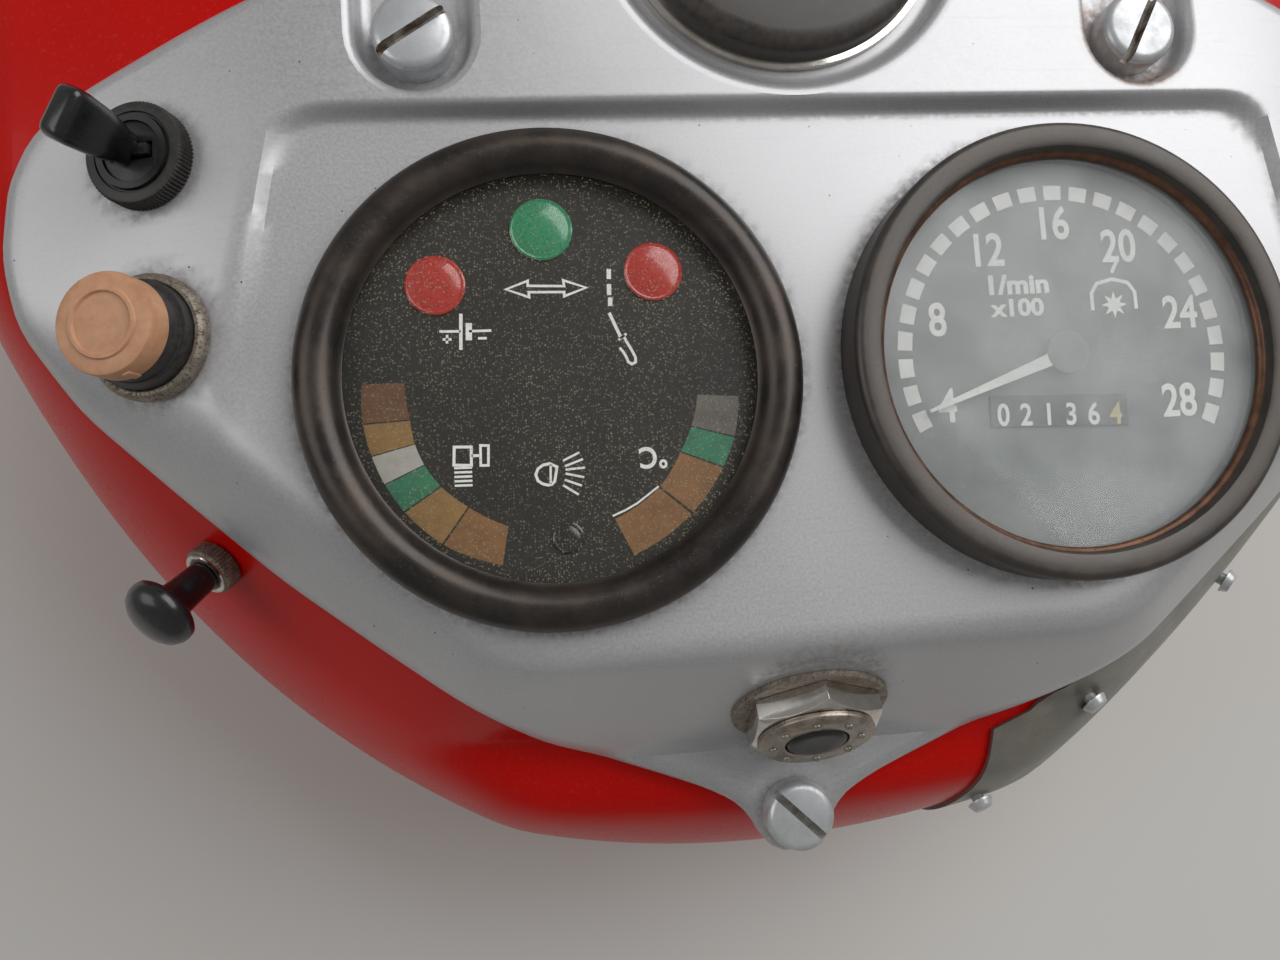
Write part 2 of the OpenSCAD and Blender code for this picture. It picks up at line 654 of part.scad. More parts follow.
// Starter button on the apron
starter_button_z = 2;
module starter_washer() {
  color("gray") on_apron(starter_y) difference() {
    translate([0, 0, 0.1]) cylinder(h = 1.4, r = 20.5);
    translate([0, 0, -1]) cylinder(h = 5, r = 11.5 + gap);
  }
}
module starter_nut() {
  color("silver") on_apron(starter_y) translate([0, 0, 1.6]) difference() {
    intersection() {
      rotate(30) cylinder(h = 6.4, d = starter_af / cos(30), $fn = 6);
      union() {
        cylinder(h = 4.8, r = starter_af / 2 + 3);
        translate([0, 0, 4.8]) cylinder(h = 1.61, r1 = starter_af / 2 + 2.6, r2 = starter_af / 2);
      }
    }
    translate([0, 0, -1]) cylinder(h = 12, r = 11.5 + gap);
  }
}
module starter_bush() {
  color("#4a443e") on_apron(starter_y) {
    difference() {
      union() {
        translate([0, 0, -8]) cylinder(h = 17, r = 11.5);
        translate([0, 0, 8.2]) cylinder(h = 1.4, r = 15.2);
        translate([0, 0, 9.6]) cylinder(h = 0.9, r1 = 15.2, r2 = 13.6);
      }
      translate([0, 0, starter_button_z - button_travel - 0.5])
        cylinder(h = 20, r = starter_button_r + gap);
    }
    translate([0, 0, -42]) cylinder(h = 42 - panel_t - 2, r = 17);
  }
}
module starter_button() {
  color("#141414") on_apron(starter_y) {
    translate([0, 0, starter_button_z]) cylinder(h = 8, r = starter_button_r);
    translate([0, 0, starter_button_z + 8]) cylinder(h = 1.2, r1 = starter_button_r, r2 = starter_button_r - 2.4);
  }
}
module starter_terminals() {
  color("goldenrod") on_apron(starter_y) for (s = [-1, 1])
    translate([s * 9, 0, -52]) {
      cylinder(h = 10, r = 2.5);
      translate([0, 0, 6]) cylinder(h = 4, r = 5, $fn = 6);
    }
}

module pull_knob_nut() {
  color("#9a8a78") on_knob() difference() {
    translate([0, 0, 0.6]) cylinder(h = 5, r = 7);
    translate([0, 0, -1]) cylinder(h = 10, r = 3.4);
  }
}
knob_stem_z = 6;
knob_head_z = 19;
module pull_knob() {
  color("#191919") on_knob() {
    translate([0, 0, knob_stem_z])
      cylinder(h = knob_head_z - knob_stem_z, r1 = 4.3, r2 = 5);
    translate([0, 0, knob_head_z]) cylinder(h = 2.6, r1 = 5, r2 = knob_head_r);
    translate([0, 0, knob_head_z + 2.6]) cylinder(h = 2.6, r = knob_head_r);
    translate([0, 0, knob_head_z + 5.2]) cylinder(h = 2.2, r1 = knob_head_r, r2 = knob_head_r - 3.5);
    translate([0, 0, -20 - knob_travel]) cylinder(h = 27 + knob_travel, r = 3);
  }
}

// Steering column trim in its sunk ring
module column_washer() {
  color("gray") translate([0, column_y, console_h]) difference() {
    cylinder(h = 1.5, r = cap_r + 1.6);
    translate([0, 0, -1]) cylinder(h = 5, r = 23);
  }
}
module column_cap() {
  color("#242322") translate([0, column_y, console_h]) difference() {
    union() {
      translate([0, 0, 1.5]) cylinder(h = 5.5, r = cap_r);
      translate([0, 0, 7]) cylinder(h = 2, r1 = cap_r, r2 = cap_r - 4);
      translate([0, 0, -column_sleeve]) cylinder(h = column_sleeve + 2, r = 22.5);
    }
    translate([0, 0, -column_sleeve - 5]) cylinder(h = 60, r = shaft_r);
  }
}

// Controls on the right wing
module light_switch_body() {
  color("#222222") on_right_wing(key_y) {
    translate([0, 0, -12]) cylinder(h = 17, r = 8.6);
    translate([0, 0, -34]) cylinder(h = 34 - panel_t - 2.2, r = 13.5);
    for (a = [45 : 90 : 315]) rotate(a) translate([9, -3.1, -42]) cube([0.8, 6.3, 8]);
  }
}
module light_switch_nut() {
  color("#1d1d1d") on_right_wing(key_y) difference() {
    cylinder(h = 4.5, r = key_nut_r);
    translate([0, 0, -1]) cylinder(h = 8, r = 8.6 + gap / 2);
  }
}
module light_switch_knob() {
  color("#181818") on_right_wing(key_y) {
    translate([0, 0, 5.1]) cylinder(h = 9, r = 10);
    translate([-10.5, -2.5, 8]) cube([21, 5, 9]);
  }
}
module horn_ring() {
  color("silver") on_right_wing(fuse_y) difference() {
    cylinder(h = 3, r1 = 15, r2 = 14);
    translate([0, 0, -1]) cylinder(h = 6, r = 11.2 + gap);
  }
}
horn_button_z = -1.5;
module horn_body() {
  color("#202020") on_right_wing(fuse_y) {
    difference() {
      union() {
        translate([0, 0, 0.2]) cylinder(h = 5, r = 11.2);
        translate([0, 0, -26]) cylinder(h = 27, r = 8.7);
      }
      translate([0, 0, horn_button_z - button_travel - 1.5]) cylinder(h = 20, r = 7.3);
    }
    for (s = [-1, 1]) translate([s * 5 - 0.4, -3.1, -34]) cube([0.8, 6.3, 8]);
  }
}
module horn_button() {
  color("#141414") on_right_wing(fuse_y) {
    translate([0, 0, horn_button_z]) cylinder(h = 9.5, r = 7);
    translate([0, 0, 8]) cylinder(h = 1.5, r1 = 7, r2 = 5);
  }
}

cowl();
cowl_front_frame();
cowl_base_frame();
side_plate();
side_plate_screws();
panel_cover();
panel_screws();
combi_case();
combi_bezel();
combi_glass();
combi_dial();
combi_lens_green();
combi_lens_red();
combi_lens_blue();
combi_bracket();
tacho_case();
tacho_bezel();
tacho_glass();
tacho_dial();
tacho_counter();
tacho_needle();
tacho_bracket();
bracket_nuts();
gauge_terminals();
key_switch_body();
key_switch_nut();
key_barrel();
ignition_key();
fuse_ring();
fuse_holder();
fuse_cap();
starter_washer();
starter_nut();
starter_bush();
starter_button();
starter_terminals();
pull_knob_nut();
pull_knob();
column_washer();
column_cap();
light_switch_body();
light_switch_nut();
light_switch_knob();
horn_ring();
horn_body();
horn_button();
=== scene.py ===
from math import atan2, cos, hypot, pi, radians, sin, sqrt, tan

import bpy
from mathutils import Matrix, Vector


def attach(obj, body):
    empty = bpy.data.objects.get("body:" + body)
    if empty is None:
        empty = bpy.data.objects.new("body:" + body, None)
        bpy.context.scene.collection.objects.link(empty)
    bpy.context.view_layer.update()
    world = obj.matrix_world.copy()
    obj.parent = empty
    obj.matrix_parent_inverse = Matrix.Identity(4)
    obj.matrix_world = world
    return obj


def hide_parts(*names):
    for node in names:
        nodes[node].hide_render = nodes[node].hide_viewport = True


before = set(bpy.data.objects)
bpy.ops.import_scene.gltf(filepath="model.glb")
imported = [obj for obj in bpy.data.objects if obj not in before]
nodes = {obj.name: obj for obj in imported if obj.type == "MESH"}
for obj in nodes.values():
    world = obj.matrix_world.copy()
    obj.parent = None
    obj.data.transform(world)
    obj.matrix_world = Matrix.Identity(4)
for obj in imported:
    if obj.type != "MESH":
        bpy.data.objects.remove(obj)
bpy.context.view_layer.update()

mm = 0.001

# Sizes of the console in millimetres, as in the CAD model
PLATFORM_Z = 200
GAUGE_X, GAUGE_Y = 62, -62
LIP_H, LIP_GAP, RIM_R = 8, 1, 4.5
FRONT_RISE, WING_TILT, WING_ZERO_X = 4, 14.7, 141
APRON_TILT, FOOT_TILT, FOOT_BLEND_R, CREASE_Y, BLEND_R = 58, 6, 2, -129, 12
DIAG_X, DIAG_ANGLE, DIAG_SLOPE = 75, 41.5, 1.2
SIDE_X, SIDE_SKEW, CORNER_R, STEP_RUN = 120, 0.236, 12, 4
TAB_Y, TAB_R, TAB_DROP = -179, 20, 50
COLUMN_Y, BULGE_R, RING_Y = 52, 73, 60
SCREW_X, SCREW_Y, SCREW_FLOOR = 90, 20, -2
SWITCH_X, KEY_Y, FUSE_Y, STARTER_Y = 152, -6.5, -48, -146
KNOB_X, KNOB_Y, KNOB_LEAN, KNOB_TURN = -152, -98.5, 50, -131.5
COWL_A, COWL_B, COWL_FRONT, COWL_T, SHOULDER_R = 214, 203, 143, 2, 26
COWL_FALL, APRON_CLEAR = 46, 4
FRAME_W, PLATE_T, GAP = 32, 1.6, 0.3
COMBI_R, COMBI_H, COMBI_DIAL_Z, COMBI_TURN = 58.2, 9, 1.4, 1.7
TACHO_R, TACHO_H, TACHO_DIAL_Z = 55, 11.5, 3.2
CASE_R, VIEW_R, GLASS_SUNK, GLASS_T = 49.3, 47.1, 4.2, 1.8

# Half widths of the cover, as (y, x); its tab end is drawn closer to the photo than the CAD's
OUTLINE = [(-191, 3), (-189, 7), (-185, 10), (-179, 13), (-174, 18.5), (-170, 27), (-154, 67),
           (-124, 107), (-105, 131), (-84, 153), (-62, 175), (-42, 187), (-24, 190),
           (-7, 188), (4, 182), (12, 172), (31, 127), (55, 67)]
REAR_Y = OUTLINE[0][0]

# Sizes in millimetres that this model adds
SHEET = 1.9             # cover's sheet, a little thinner than the CAD's
CUP_R = 48.4            # outer edge of the sunk ring round the steering column
POCKET_R = 15.8         # outer edge of a front screw's pocket
POCKET_RUN = 44         # how far ahead of the screw the pocket's walls are drawn
CUTTER_RUN = 60         # how far ahead of it the cover is cleared
TRIM = 0.6              # how far inside the cover's outline the pockets end
SWITCH_HOLE_R, STARTER_HOLE_R, SCREW_HOLE_R = 9, 12, 4.3
GAUGE_HOLE_R = 50.3
ROLL_R = 5.3            # roll of the left gauge's bezel
INK_LIFT = 0.06         # height of the printed marks over their dial
INK_SPREAD = 1.3        # printed lines are this much wider than measured, so that they show
HEAD_R, HEAD_H, SLOT_HALF, SLOT_FLOOR = 9.5, 7.5, 1.1, 4.5      # cover screws

# The photograph's camera
PHOTO_FOCAL, PHOTO_WIDTH, SENSOR = 966.27, 1280, 36
CAMERA_PLACE = (-0.0690, -0.10257, 0.42305)
CAMERA_TURN = (0.0745, -0.1114, -0.0618)        # axis times angle, in radians


# ---------------------------------------------------------------- pressed forms

def smin(a, b, r):
    """Smaller of two heights, with a blend about r wide where they meet."""
    h = max(r - abs(a - b), 0) / r
    return min(a, b) - h * h * r / 4


def smax(a, b, r):
    """Larger of two heights, with the same blend."""
    return -smin(-a, -b, r)


def ease(t):
    """Smooth step from 0 to 1."""
    c = min(max(t, 0), 1)
    return c * c * (3 - 2 * c)


def mix(a, b, t):
    """Value at share t of the way from a to b."""
    return a + (b - a) * t


def crown(x, y):
    """Crowned surface that cover and cowl follow, above the gauge platform."""
    wing = tan(radians(WING_TILT)) * (WING_ZERO_X - abs(x))
    turn = radians(DIAG_ANGLE)
    diag = -DIAG_SLOPE * ((abs(x) - DIAG_X) * sin(turn) - (y - CREASE_Y) * cos(turn))
    foot = tan(radians(FOOT_TILT)) * (y - TAB_Y) - TAB_DROP
    apron = smax(tan(radians(APRON_TILT)) * (y - CREASE_Y), foot, FOOT_BLEND_R)
    return smin(smin(FRONT_RISE, wing, 6), smin(diag, apron, BLEND_R), BLEND_R)


def panel_top(x, y):
    """Upper face of the cover: the crown, the sunk gauge platform and the rear screw's seat."""
    c = crown(x, y)
    inside = STEP_RUN + smin(-y, SIDE_X - SIDE_SKEW * y - abs(x), CORNER_R)
    sunk = c + ease(inside / STEP_RUN) * smin(-c, 0, 3)
    return mix(sunk, -TAB_DROP, ease((TAB_R - hypot(x, y - TAB_Y)) / 5))


def cowl_top(x, y):
    """Surface that the cowl follows: the crown moved forward, its own fall towards the driver
    and a flat under the rear screw."""
    c = smin(crown(x, y - APRON_CLEAR), tan(radians(COWL_FALL)) * (y - CREASE_Y), 6)
    return min(c, mix(c, -TAB_DROP, ease((TAB_R + 8 - hypot(x, y - TAB_Y)) / 6)))


def panel_half(y):
    """Half width of the cover at y."""
    def raw(v):
        """Half width before its corners are smoothed."""
        w = 0
        if v <= 56:
            w = OUTLINE[0][1] if v < OUTLINE[0][0] else OUTLINE[-1][1]
            for (ya, wa), (yb, wb) in zip(OUTLINE, OUTLINE[1:]):
                if ya <= v <= yb:
                    w = mix(wa, wb, (v - ya) / (yb - ya))
        if abs(v - COLUMN_Y) < BULGE_R:
            w = max(w, sqrt(BULGE_R ** 2 - (v - COLUMN_Y) ** 2))
        return w
    return raw(y) if y < -184 else (raw(y - 3) + raw(y) + raw(y + 3)) / 3


def stretch_at(y, limit):
    """How many times farther the outline is sideways than straight across, at y; limit holds
    the square of its slope."""
    slope = (panel_half(y + 1) - panel_half(y - 1)) / 2
    return sqrt(1 + min(slope * slope, limit))


def rim_drop(d):
    """Fall of the rounded rim at a distance from the cover's outline."""
    inside = RIM_R - min(max(d, 0), RIM_R)
    return RIM_R - sqrt(RIM_R ** 2 - inside ** 2)


def steps(*runs):
    """Stations from runs of (start, end, count), the last end included."""
    out = []
    for a, b, n in runs:
        out += [mix(a, b, k / n) for k in range(n)]
    return out + [runs[-1][1]]


# ---------------------------------------------------------------- places of the controls

def level(x, y, z, turn=0):
    """Place on a level face, z above the gauge platform."""
    return (Matrix.Translation(Vector((x, y, PLATFORM_Z + z)) * mm)
            @ Matrix.Rotation(radians(turn), 4, "Z"))


def on_wing(side, y):
    """Place of a control on the left (-1) or right (1) wing."""
    return (level(side * SWITCH_X, y, crown(SWITCH_X, y))
            @ Matrix.Rotation(radians(side * WING_TILT), 4, "Y"))


def on_apron(y):
    """Place on the slope towards the driver, on the centre line."""
    return level(0, y, crown(0, y)) @ Matrix.Rotation(radians(APRON_TILT), 4, "X")


def on_gauge(side, turn=0):
    """Place in the middle of the left (-1) or right (1) gauge, on the platform."""
    return level(side * GAUGE_X, GAUGE_Y, 0, turn)


def on_knob():
    """Place where the pull knob's rod leaves the cowl, leaning to the left and to the driver."""
    return (level(KNOB_X, KNOB_Y, cowl_top(KNOB_X, KNOB_Y) - LIP_H - LIP_GAP, KNOB_TURN)
            @ Matrix.Rotation(radians(KNOB_LEAN), 4, "Y"))


# ---------------------------------------------------------------- materials

def linear(hex_colour):
    """sRGB hex value as linear RGBA."""
    parts = [int(hex_colour[i:i + 2], 16) / 255 for i in (1, 3, 5)]
    return tuple(v / 12.92 if v <= 0.04045 else ((v + 0.055) / 1.055) ** 2.4
                 for v in parts) + (1.0,)


def add(tree, kind, links=None, stops=None, **settings):
    """Adds a node with its settings; links gives each input a value or a socket."""
    node = tree.nodes.new(kind)
    for name, value in settings.items():
        setattr(node, name, value)
    for name, value in (links or {}).items():
        socket = node.inputs[name]
        if isinstance(value, bpy.types.NodeSocket):
            tree.links.new(value, socket)
        else:
            socket.default_value = value
    for k, (place, colour) in enumerate(stops or []):
        ramp = node.color_ramp.elements
        stop = ramp[k] if k < len(ramp) else ramp.new(place)
        stop.position, stop.color = place, colour
    return node


def surface(name, **values):
    """New material with its shader's uniform values; gives it, its tree and its shader."""
    made = bpy.data.materials.new(name)
    made.use_nodes = True
    tree = made.node_tree
    shader = tree.nodes["Principled BSDF"]
    for key, value in values.items():
        shader.inputs[key.replace("_", " ")].default_value = value
    return made, tree, shader


def silver_enamel():
    """Satin silver enamel sprayed on pressed steel: a soft metal sheen over fine flake, sparse
    dust nibs, faint wipe marks along the cover, and a brown darkening round the fittings, at the
    rim and in the platform's step that is partly dirt and partly painted shade."""
    made, t, shader = surface("satin_silver_enamel", Metallic=0.5, Coat_Weight=0.2,
                              Coat_Roughness=0.1)
    place = add(t, "ShaderNodeTexCoord").outputs["Object"]
    # spray clouds, about 70 mm
    cloud = add(t, "ShaderNodeTexNoise", {"Vector": place, "Scale": 14.0, "Detail": 3.0})
    tone = add(t, "ShaderNodeValToRGB", {"Fac": cloud.outputs["Fac"]},
               stops=[(0.3, linear("#b3b3b5")), (0.7, linear("#bcbcbe"))]).outputs["Color"]
    # metal flake, 0.7 mm, far coarser than real so that it shows
    flake = add(t, "ShaderNodeTexNoise", {"Vector": place, "Scale": 1400.0, "Detail": 2.0})
    glint = add(t, "ShaderNodeMapRange", {
        "Value": flake.outputs["Fac"], "From Min": 0.3, "From Max": 0.7,
        "To Min": -0.03, "To Max": 0.03}).outputs["Result"]
    # wipe marks, 1 mm wide and some 50 mm long
    grain = add(t, "ShaderNodeMapping", {"Vector": place, "Scale": (18.0, 900.0, 900.0)})
    wipe = add(t, "ShaderNodeTexNoise", {"Vector": grain.outputs["Vector"], "Scale": 1.0,
                                         "Detail": 2.0})
    wipe = add(t, "ShaderNodeMapRange", {
        "Value": wipe.outputs["Fac"], "From Min": 0.6, "From Max": 0.85,
        "To Max": 0.22}).outputs["Result"]
    # dust nibs, up to 0.5 mm across, in every other cell of 4 mm
    cell = add(t, "ShaderNodeTexVoronoi", {"Vector": place, "Scale": 260.0})
    pick = add(t, "ShaderNodeSeparateColor", {"Color": cell.outputs["Color"]}).outputs["Red"]
    size = add(t, "ShaderNodeMapRange", {
        "Value": pick, "From Min": 0.5, "From Max": 1.0, "To Max": 0.07}).outputs["Result"]
    nib = add(t, "ShaderNodeMath", {0: cell.outputs["Distance"], 1: size},
              operation="LESS_THAN").outputs["Value"]
    # soil with painted shade, and rust, from the piece's attributes, both broken up at 2 mm
    broken = add(t, "ShaderNodeTexNoise", {"Vector": place, "Scale": 500.0, "Detail": 5.0,
                                           "Roughness": 0.65})
    broken = add(t, "ShaderNodeMapRange", {
        "Value": broken.outputs["Fac"], "From Min": 0.3, "From Max": 0.65}).outputs["Result"]
    soil_and_shade, rust = [
        add(t, "ShaderNodeMath",
            {0: add(t, "ShaderNodeAttribute", attribute_name=name).outputs["Fac"], 1: broken},
            operation="MULTIPLY").outputs["Value"] for name in ("soil_and_shade", "rust")]
    # the soil amount darkens the tone with brown: dirt in part, painted shade in part
    for amount, colour in ((wipe, "#909296"), (soil_and_shade, "#5d5043"), (rust, "#8a5523"),
                           (nib, "#45423e")):
        tone = add(t, "ShaderNodeMixRGB", {"Fac": amount, "Color1": tone,
                                           "Color2": linear(colour)}).outputs["Color"]
    tone = add(t, "ShaderNodeBrightContrast", {"Color": tone, "Bright": glint}).outputs["Color"]
    t.links.new(tone, shader.inputs["Base Color"])
    rough = add(t, "ShaderNodeMapRange", {
        "Value": flake.outputs["Fac"], "From Min": 0.3, "From Max": 0.7,
        "To Min": 0.36, "To Max": 0.46}).outputs["Result"]
    rough = add(t, "ShaderNodeMath", {0: rough, 1: soil_and_shade}, operation="ADD", use_clamp=True)
    t.links.new(rough.outputs["Value"], shader.inputs["Roughness"])
    bump = add(t, "ShaderNodeBump", {"Height": flake.outputs["Fac"], "Strength": 0.03,
                                     "Distance": 0.0002})
    t.links.new(bump.outputs["Normal"], shader.inputs["Normal"])
    return made


def red_enamel():
    """Gloss red enamel on sheet steel: deep colour with a soft shine, thin road dust and a
    few chips down to dark primer."""
    made, t, shader = surface("gloss_red_enamel", Coat_Weight=0.08, Coat_Roughness=0.06, IOR=1.2,
                              Specular_IOR_Level=0.5)
    place = add(t, "ShaderNodeTexCoord").outputs["Object"]
    # fading in clouds of about 90 mm
    cloud = add(t, "ShaderNodeTexNoise", {"Vector": place, "Scale": 11.0, "Detail": 4.0})
    tone = add(t, "ShaderNodeValToRGB", {"Fac": cloud.outputs["Fac"]},
               stops=[(0.3, linear("#b60a04")), (0.7, linear("#c60e05"))]).outputs["Color"]
    # road dust in grains of about 1 mm, far coarser than real so that it shows
    dust = add(t, "ShaderNodeTexNoise", {"Vector": place, "Scale": 1000.0, "Detail": 3.0})
    dust = add(t, "ShaderNodeMapRange", {
        "Value": dust.outputs["Fac"], "From Min": 0.58, "From Max": 0.75,
        "To Max": 0.2}).outputs["Result"]
    # chips up to 1.4 mm across, in one of five cells of 20 mm
    cell = add(t, "ShaderNodeTexVoronoi", {"Vector": place, "Scale": 50.0})
    pick = add(t, "ShaderNodeSeparateColor", {"Color": cell.outputs["Color"]}).outputs["Green"]
    size = add(t, "ShaderNodeMapRange", {
        "Value": pick, "From Min": 0.8, "From Max": 1.0, "To Max": 0.035}).outputs["Result"]
    chip = add(t, "ShaderNodeMath", {0: cell.outputs["Distance"], 1: size},
               operation="LESS_THAN").outputs["Value"]
    for amount, colour in ((dust, "#b0543c"), (chip, "#3a1310")):
        tone = add(t, "ShaderNodeMixRGB", {"Fac": amount, "Color1": tone,
                                           "Color2": linear(colour)}).outputs["Color"]
    t.links.new(tone, shader.inputs["Base Color"])
    rough = add(t, "ShaderNodeMapRange", {
        "Value": dust, "From Max": 0.2, "To Min": 0.28, "To Max": 0.55}).outputs["Result"]
    t.links.new(rough, shader.inputs["Roughness"])
    return made


def worn(name, base, patch, fleck, metallic, rough, size, share, depth=0.2):
    """Old metal or lacquer: base tone, a second tone in patches of the given size in
    millimetres, and flecks of rust or dust over a share of it, as coarse as show (0.7 mm)."""
    made, t, shader = surface(name, Metallic=metallic)
    place = add(t, "ShaderNodeTexCoord").outputs["Object"]
    area = add(t, "ShaderNodeTexNoise", {"Vector": place, "Scale": 1000 / size, "Detail": 5.0,
                                         "Roughness": 0.62}).outputs["Fac"]
    tone = add(t, "ShaderNodeValToRGB", {"Fac": area},
               stops=[(0.4, linear(base)), (0.64, linear(patch))]).outputs["Color"]
    spots = add(t, "ShaderNodeTexNoise", {"Vector": place, "Scale": 1500.0, "Detail": 4.0,
                                          "Roughness": 0.7}).outputs["Fac"]
    edge = 0.74 - 0.3 * share
    spots = add(t, "ShaderNodeMapRange", {
        "Value": spots, "From Min": edge - 0.08, "From Max": edge + 0.04,
        "To Max": 0.75}).outputs["Result"]
    tone = add(t, "ShaderNodeMixRGB", {"Fac": spots, "Color1": tone, "Color2": linear(fleck)})
    t.links.new(tone.outputs["Color"], shader.inputs["Base Color"])
    dull = add(t, "ShaderNodeMapRange", {
        "Value": area, "From Min": 0.35, "From Max": 0.65,
        "To Min": rough, "To Max": rough + 0.16}).outputs["Result"]
    dull = add(t, "ShaderNodeMath", {0: dull, 1: spots}, operation="MAXIMUM")
    t.links.new(dull.outputs["Value"], shader.inputs["Roughness"])
    bump = add(t, "ShaderNodeBump", {"Height": spots, "Strength": depth, "Distance": 0.0002})
    t.links.new(bump.outputs["Normal"], shader.inputs["Normal"])
    return made


def moulded(name, base, bloom, rough, size=4.0, coat=0.0):
    """Moulded phenolic or plastic, or a printed face: an even colour with a dull bloom in
    patches of the given size in millimetres and a fine grain."""
    made, t, shader = surface(name, Coat_Weight=coat, Coat_Roughness=0.15)
    place = add(t, "ShaderNodeTexCoord").outputs["Object"]
    cloud = add(t, "ShaderNodeTexNoise", {"Vector": place, "Scale": 1000 / size, "Detail": 6.0,
                                          "Roughness": 0.68}).outputs["Fac"]
    tone = add(t, "ShaderNodeValToRGB", {"Fac": cloud},
               stops=[(0.36, linear(base)), (0.7, linear(bloom))]).outputs["Color"]
    t.links.new(tone, shader.inputs["Base Color"])
    value = add(t, "ShaderNodeMapRange", {
        "Value": cloud, "From Min": 0.3, "From Max": 0.7,
        "To Min": rough - 0.08, "To Max": rough + 0.1}).outputs["Result"]
    t.links.new(value, shader.inputs["Roughness"])
    return made


def dusty_glass(name, dust, speck_mm, veil, specks):
    """Gauge glass under a film of dust: clear glass, an even veil and grains of the given
    size in millimetres that lie thicker in clouds of 25 mm."""
    made, t, shader = surface(name, Roughness=0.35, IOR=1.5, Coat_Weight=1.0,
                              Coat_Roughness=0.06)
    shader.inputs["Base Color"].default_value = linear(dust)
    place = add(t, "ShaderNodeTexCoord").outputs["Object"]
    cell = add(t, "ShaderNodeTexVoronoi", {"Vector": place, "Scale": 1000 / speck_mm})
    pick = add(t, "ShaderNodeSeparateColor", {"Color": cell.outputs["Color"]}).outputs["Red"]
    size = add(t, "ShaderNodeMapRange", {
        "Value": pick, "From Min": 0.1, "From Max": 1.0, "To Max": 0.38}).outputs["Result"]
    grain = add(t, "ShaderNodeMath", {0: cell.outputs["Distance"], 1: size},
                operation="LESS_THAN").outputs["Value"]
    grain = add(t, "ShaderNodeMath", {0: grain, 1: specks},
                operation="MULTIPLY").outputs["Value"]
    film = add(t, "ShaderNodeTexNoise", {"Vector": place, "Scale": 40.0,
                                         "Detail": 5.0}).outputs["Fac"]
    film = add(t, "ShaderNodeMapRange", {
        "Value": film, "From Min": 0.3, "From Max": 0.7,
        "To Min": 0.5, "To Max": 1.3}).outputs["Result"]
    cover = add(t, "ShaderNodeMath", {0: grain, 1: veil}, operation="ADD").outputs["Value"]
    cover = add(t, "ShaderNodeMath", {0: cover, 1: film}, operation="MULTIPLY", use_clamp=True)
    t.links.new(cover.outputs["Value"], shader.inputs["Alpha"])
    return made


def jewel(name, base, deep):
    """Moulded lamp lens: glossy coloured plastic, mottled at 1 mm where its ribs show."""
    made, t, shader = surface(name, Roughness=0.2, Coat_Weight=0.6, Coat_Roughness=0.08)
    place = add(t, "ShaderNodeTexCoord").outputs["Object"]
    ribs = add(t, "ShaderNodeTexVoronoi", {"Vector": place, "Scale": 1100.0}).outputs["Distance"]
    tone = add(t, "ShaderNodeValToRGB", {"Fac": ribs},
               stops=[(0.0, linear(deep)), (0.55, linear(base))]).outputs["Color"]
    t.links.new(tone, shader.inputs["Base Color"])
    return made


SILVER = silver_enamel()
RED = red_enamel()

# worn: base, patches, flecks, metallic, roughness, patch size in mm, share and depth of flecks
# satin grey paint on sheet steel: dull, with a thin film of dust
PLATE_GREY = worn("grey_plate_paint", "#7a786f", "#858279", "#a8a49a", 0.4, 0.32, 12, 0.2)
# silver enamel brushed over the screws' heads: bright, with specks of brown
SCREW_SILVER = worn("silver_painted_screw", "#c6c8ca", "#b2b4b6", "#7d756b", 0.5, 0.28, 6, 0.12)
# the rear screw's slot: its paint drawn a darker grey as painted shade, with flecks of dirt,
# rough and patchy
SLOT_WITH_PAINTED_SHADE = worn("slot_paint_with_painted_shade", "#8d8b86", "#bdbdbb", "#4b453d", 0.2, 0.5, 3, 0.35)
# the front screws' slots: steel gone to dark rust, quite matt
SLOT_RUST = worn("rust_in_slot", "#5c4635", "#b5b1a9", "#2f2118", 0.0, 0.7, 4, 0.4)
# black lacquer on a rolled steel ring: a dark metal sheen with brown wear
BEZEL_ROLLED = worn("worn_black_rolled_bezel", "#3a3735", "#4e4640", "#6a4a36", 0.75, 0.28, 14,
                    0.22)
# the same lacquer on a pressed ring, browned and thin: greyer and duller
BEZEL_FLAT = worn("browned_flat_bezel", "#45423f", "#544e49", "#66493a", 0.55, 0.33, 10, 0.2)
# its inner lip, worn down to copper-brown metal
BEZEL_LIP = worn("copper_brown_lip", "#5c4335", "#785643", "#32211a", 0.7, 0.3, 5, 0.3)
# black lacquer on drawn steel cases: even, half dull
CASE_BLACK = worn("black_lacquered_case", "#1b1a19", "#292725", "#4a4038", 0.3, 0.35, 12, 0.15)
# zinc plate, yellowed: grey metal with paler patches
ZINC = worn("yellowed_zinc_plate", "#9a968a", "#b3ad9b", "#6c655a", 0.9, 0.28, 8, 0.2)
# stamped brass: dull yellow with brown specks
BRASS = worn("dull_brass", "#8f7640", "#a98d52", "#5c4a2c", 0.9, 0.3, 3, 0.2)
# plated steel, tarnished: grey-brown, rough and nearly matt
TARNISHED = worn("tarnished_plated_ring", "#7d7367", "#9c9285", "#453b31", 0.5, 0.42, 3, 0.5,
                 0.5)
# chromed nut: sharp reflections under a thin warm tarnish
CHROME = worn("tarnished_chrome", "#dcd8d2", "#c6bfb5", "#6a5c50", 1.0, 0.07, 7, 0.04, 0.05)
# nickelled ring, crimped: warm grey metal with dirt in its marks
CRIMP = worn("crimped_nickel_ring", "#8b8278", "#a89e93", "#4a3c31", 0.8, 0.26, 3, 0.3)

# moulded: colour, bloom, roughness, size of the bloom in mm, coat
# moulded phenolic: near black, half dull
BLACK = moulded("black_phenolic", "#151515", "#272625", 0.4)
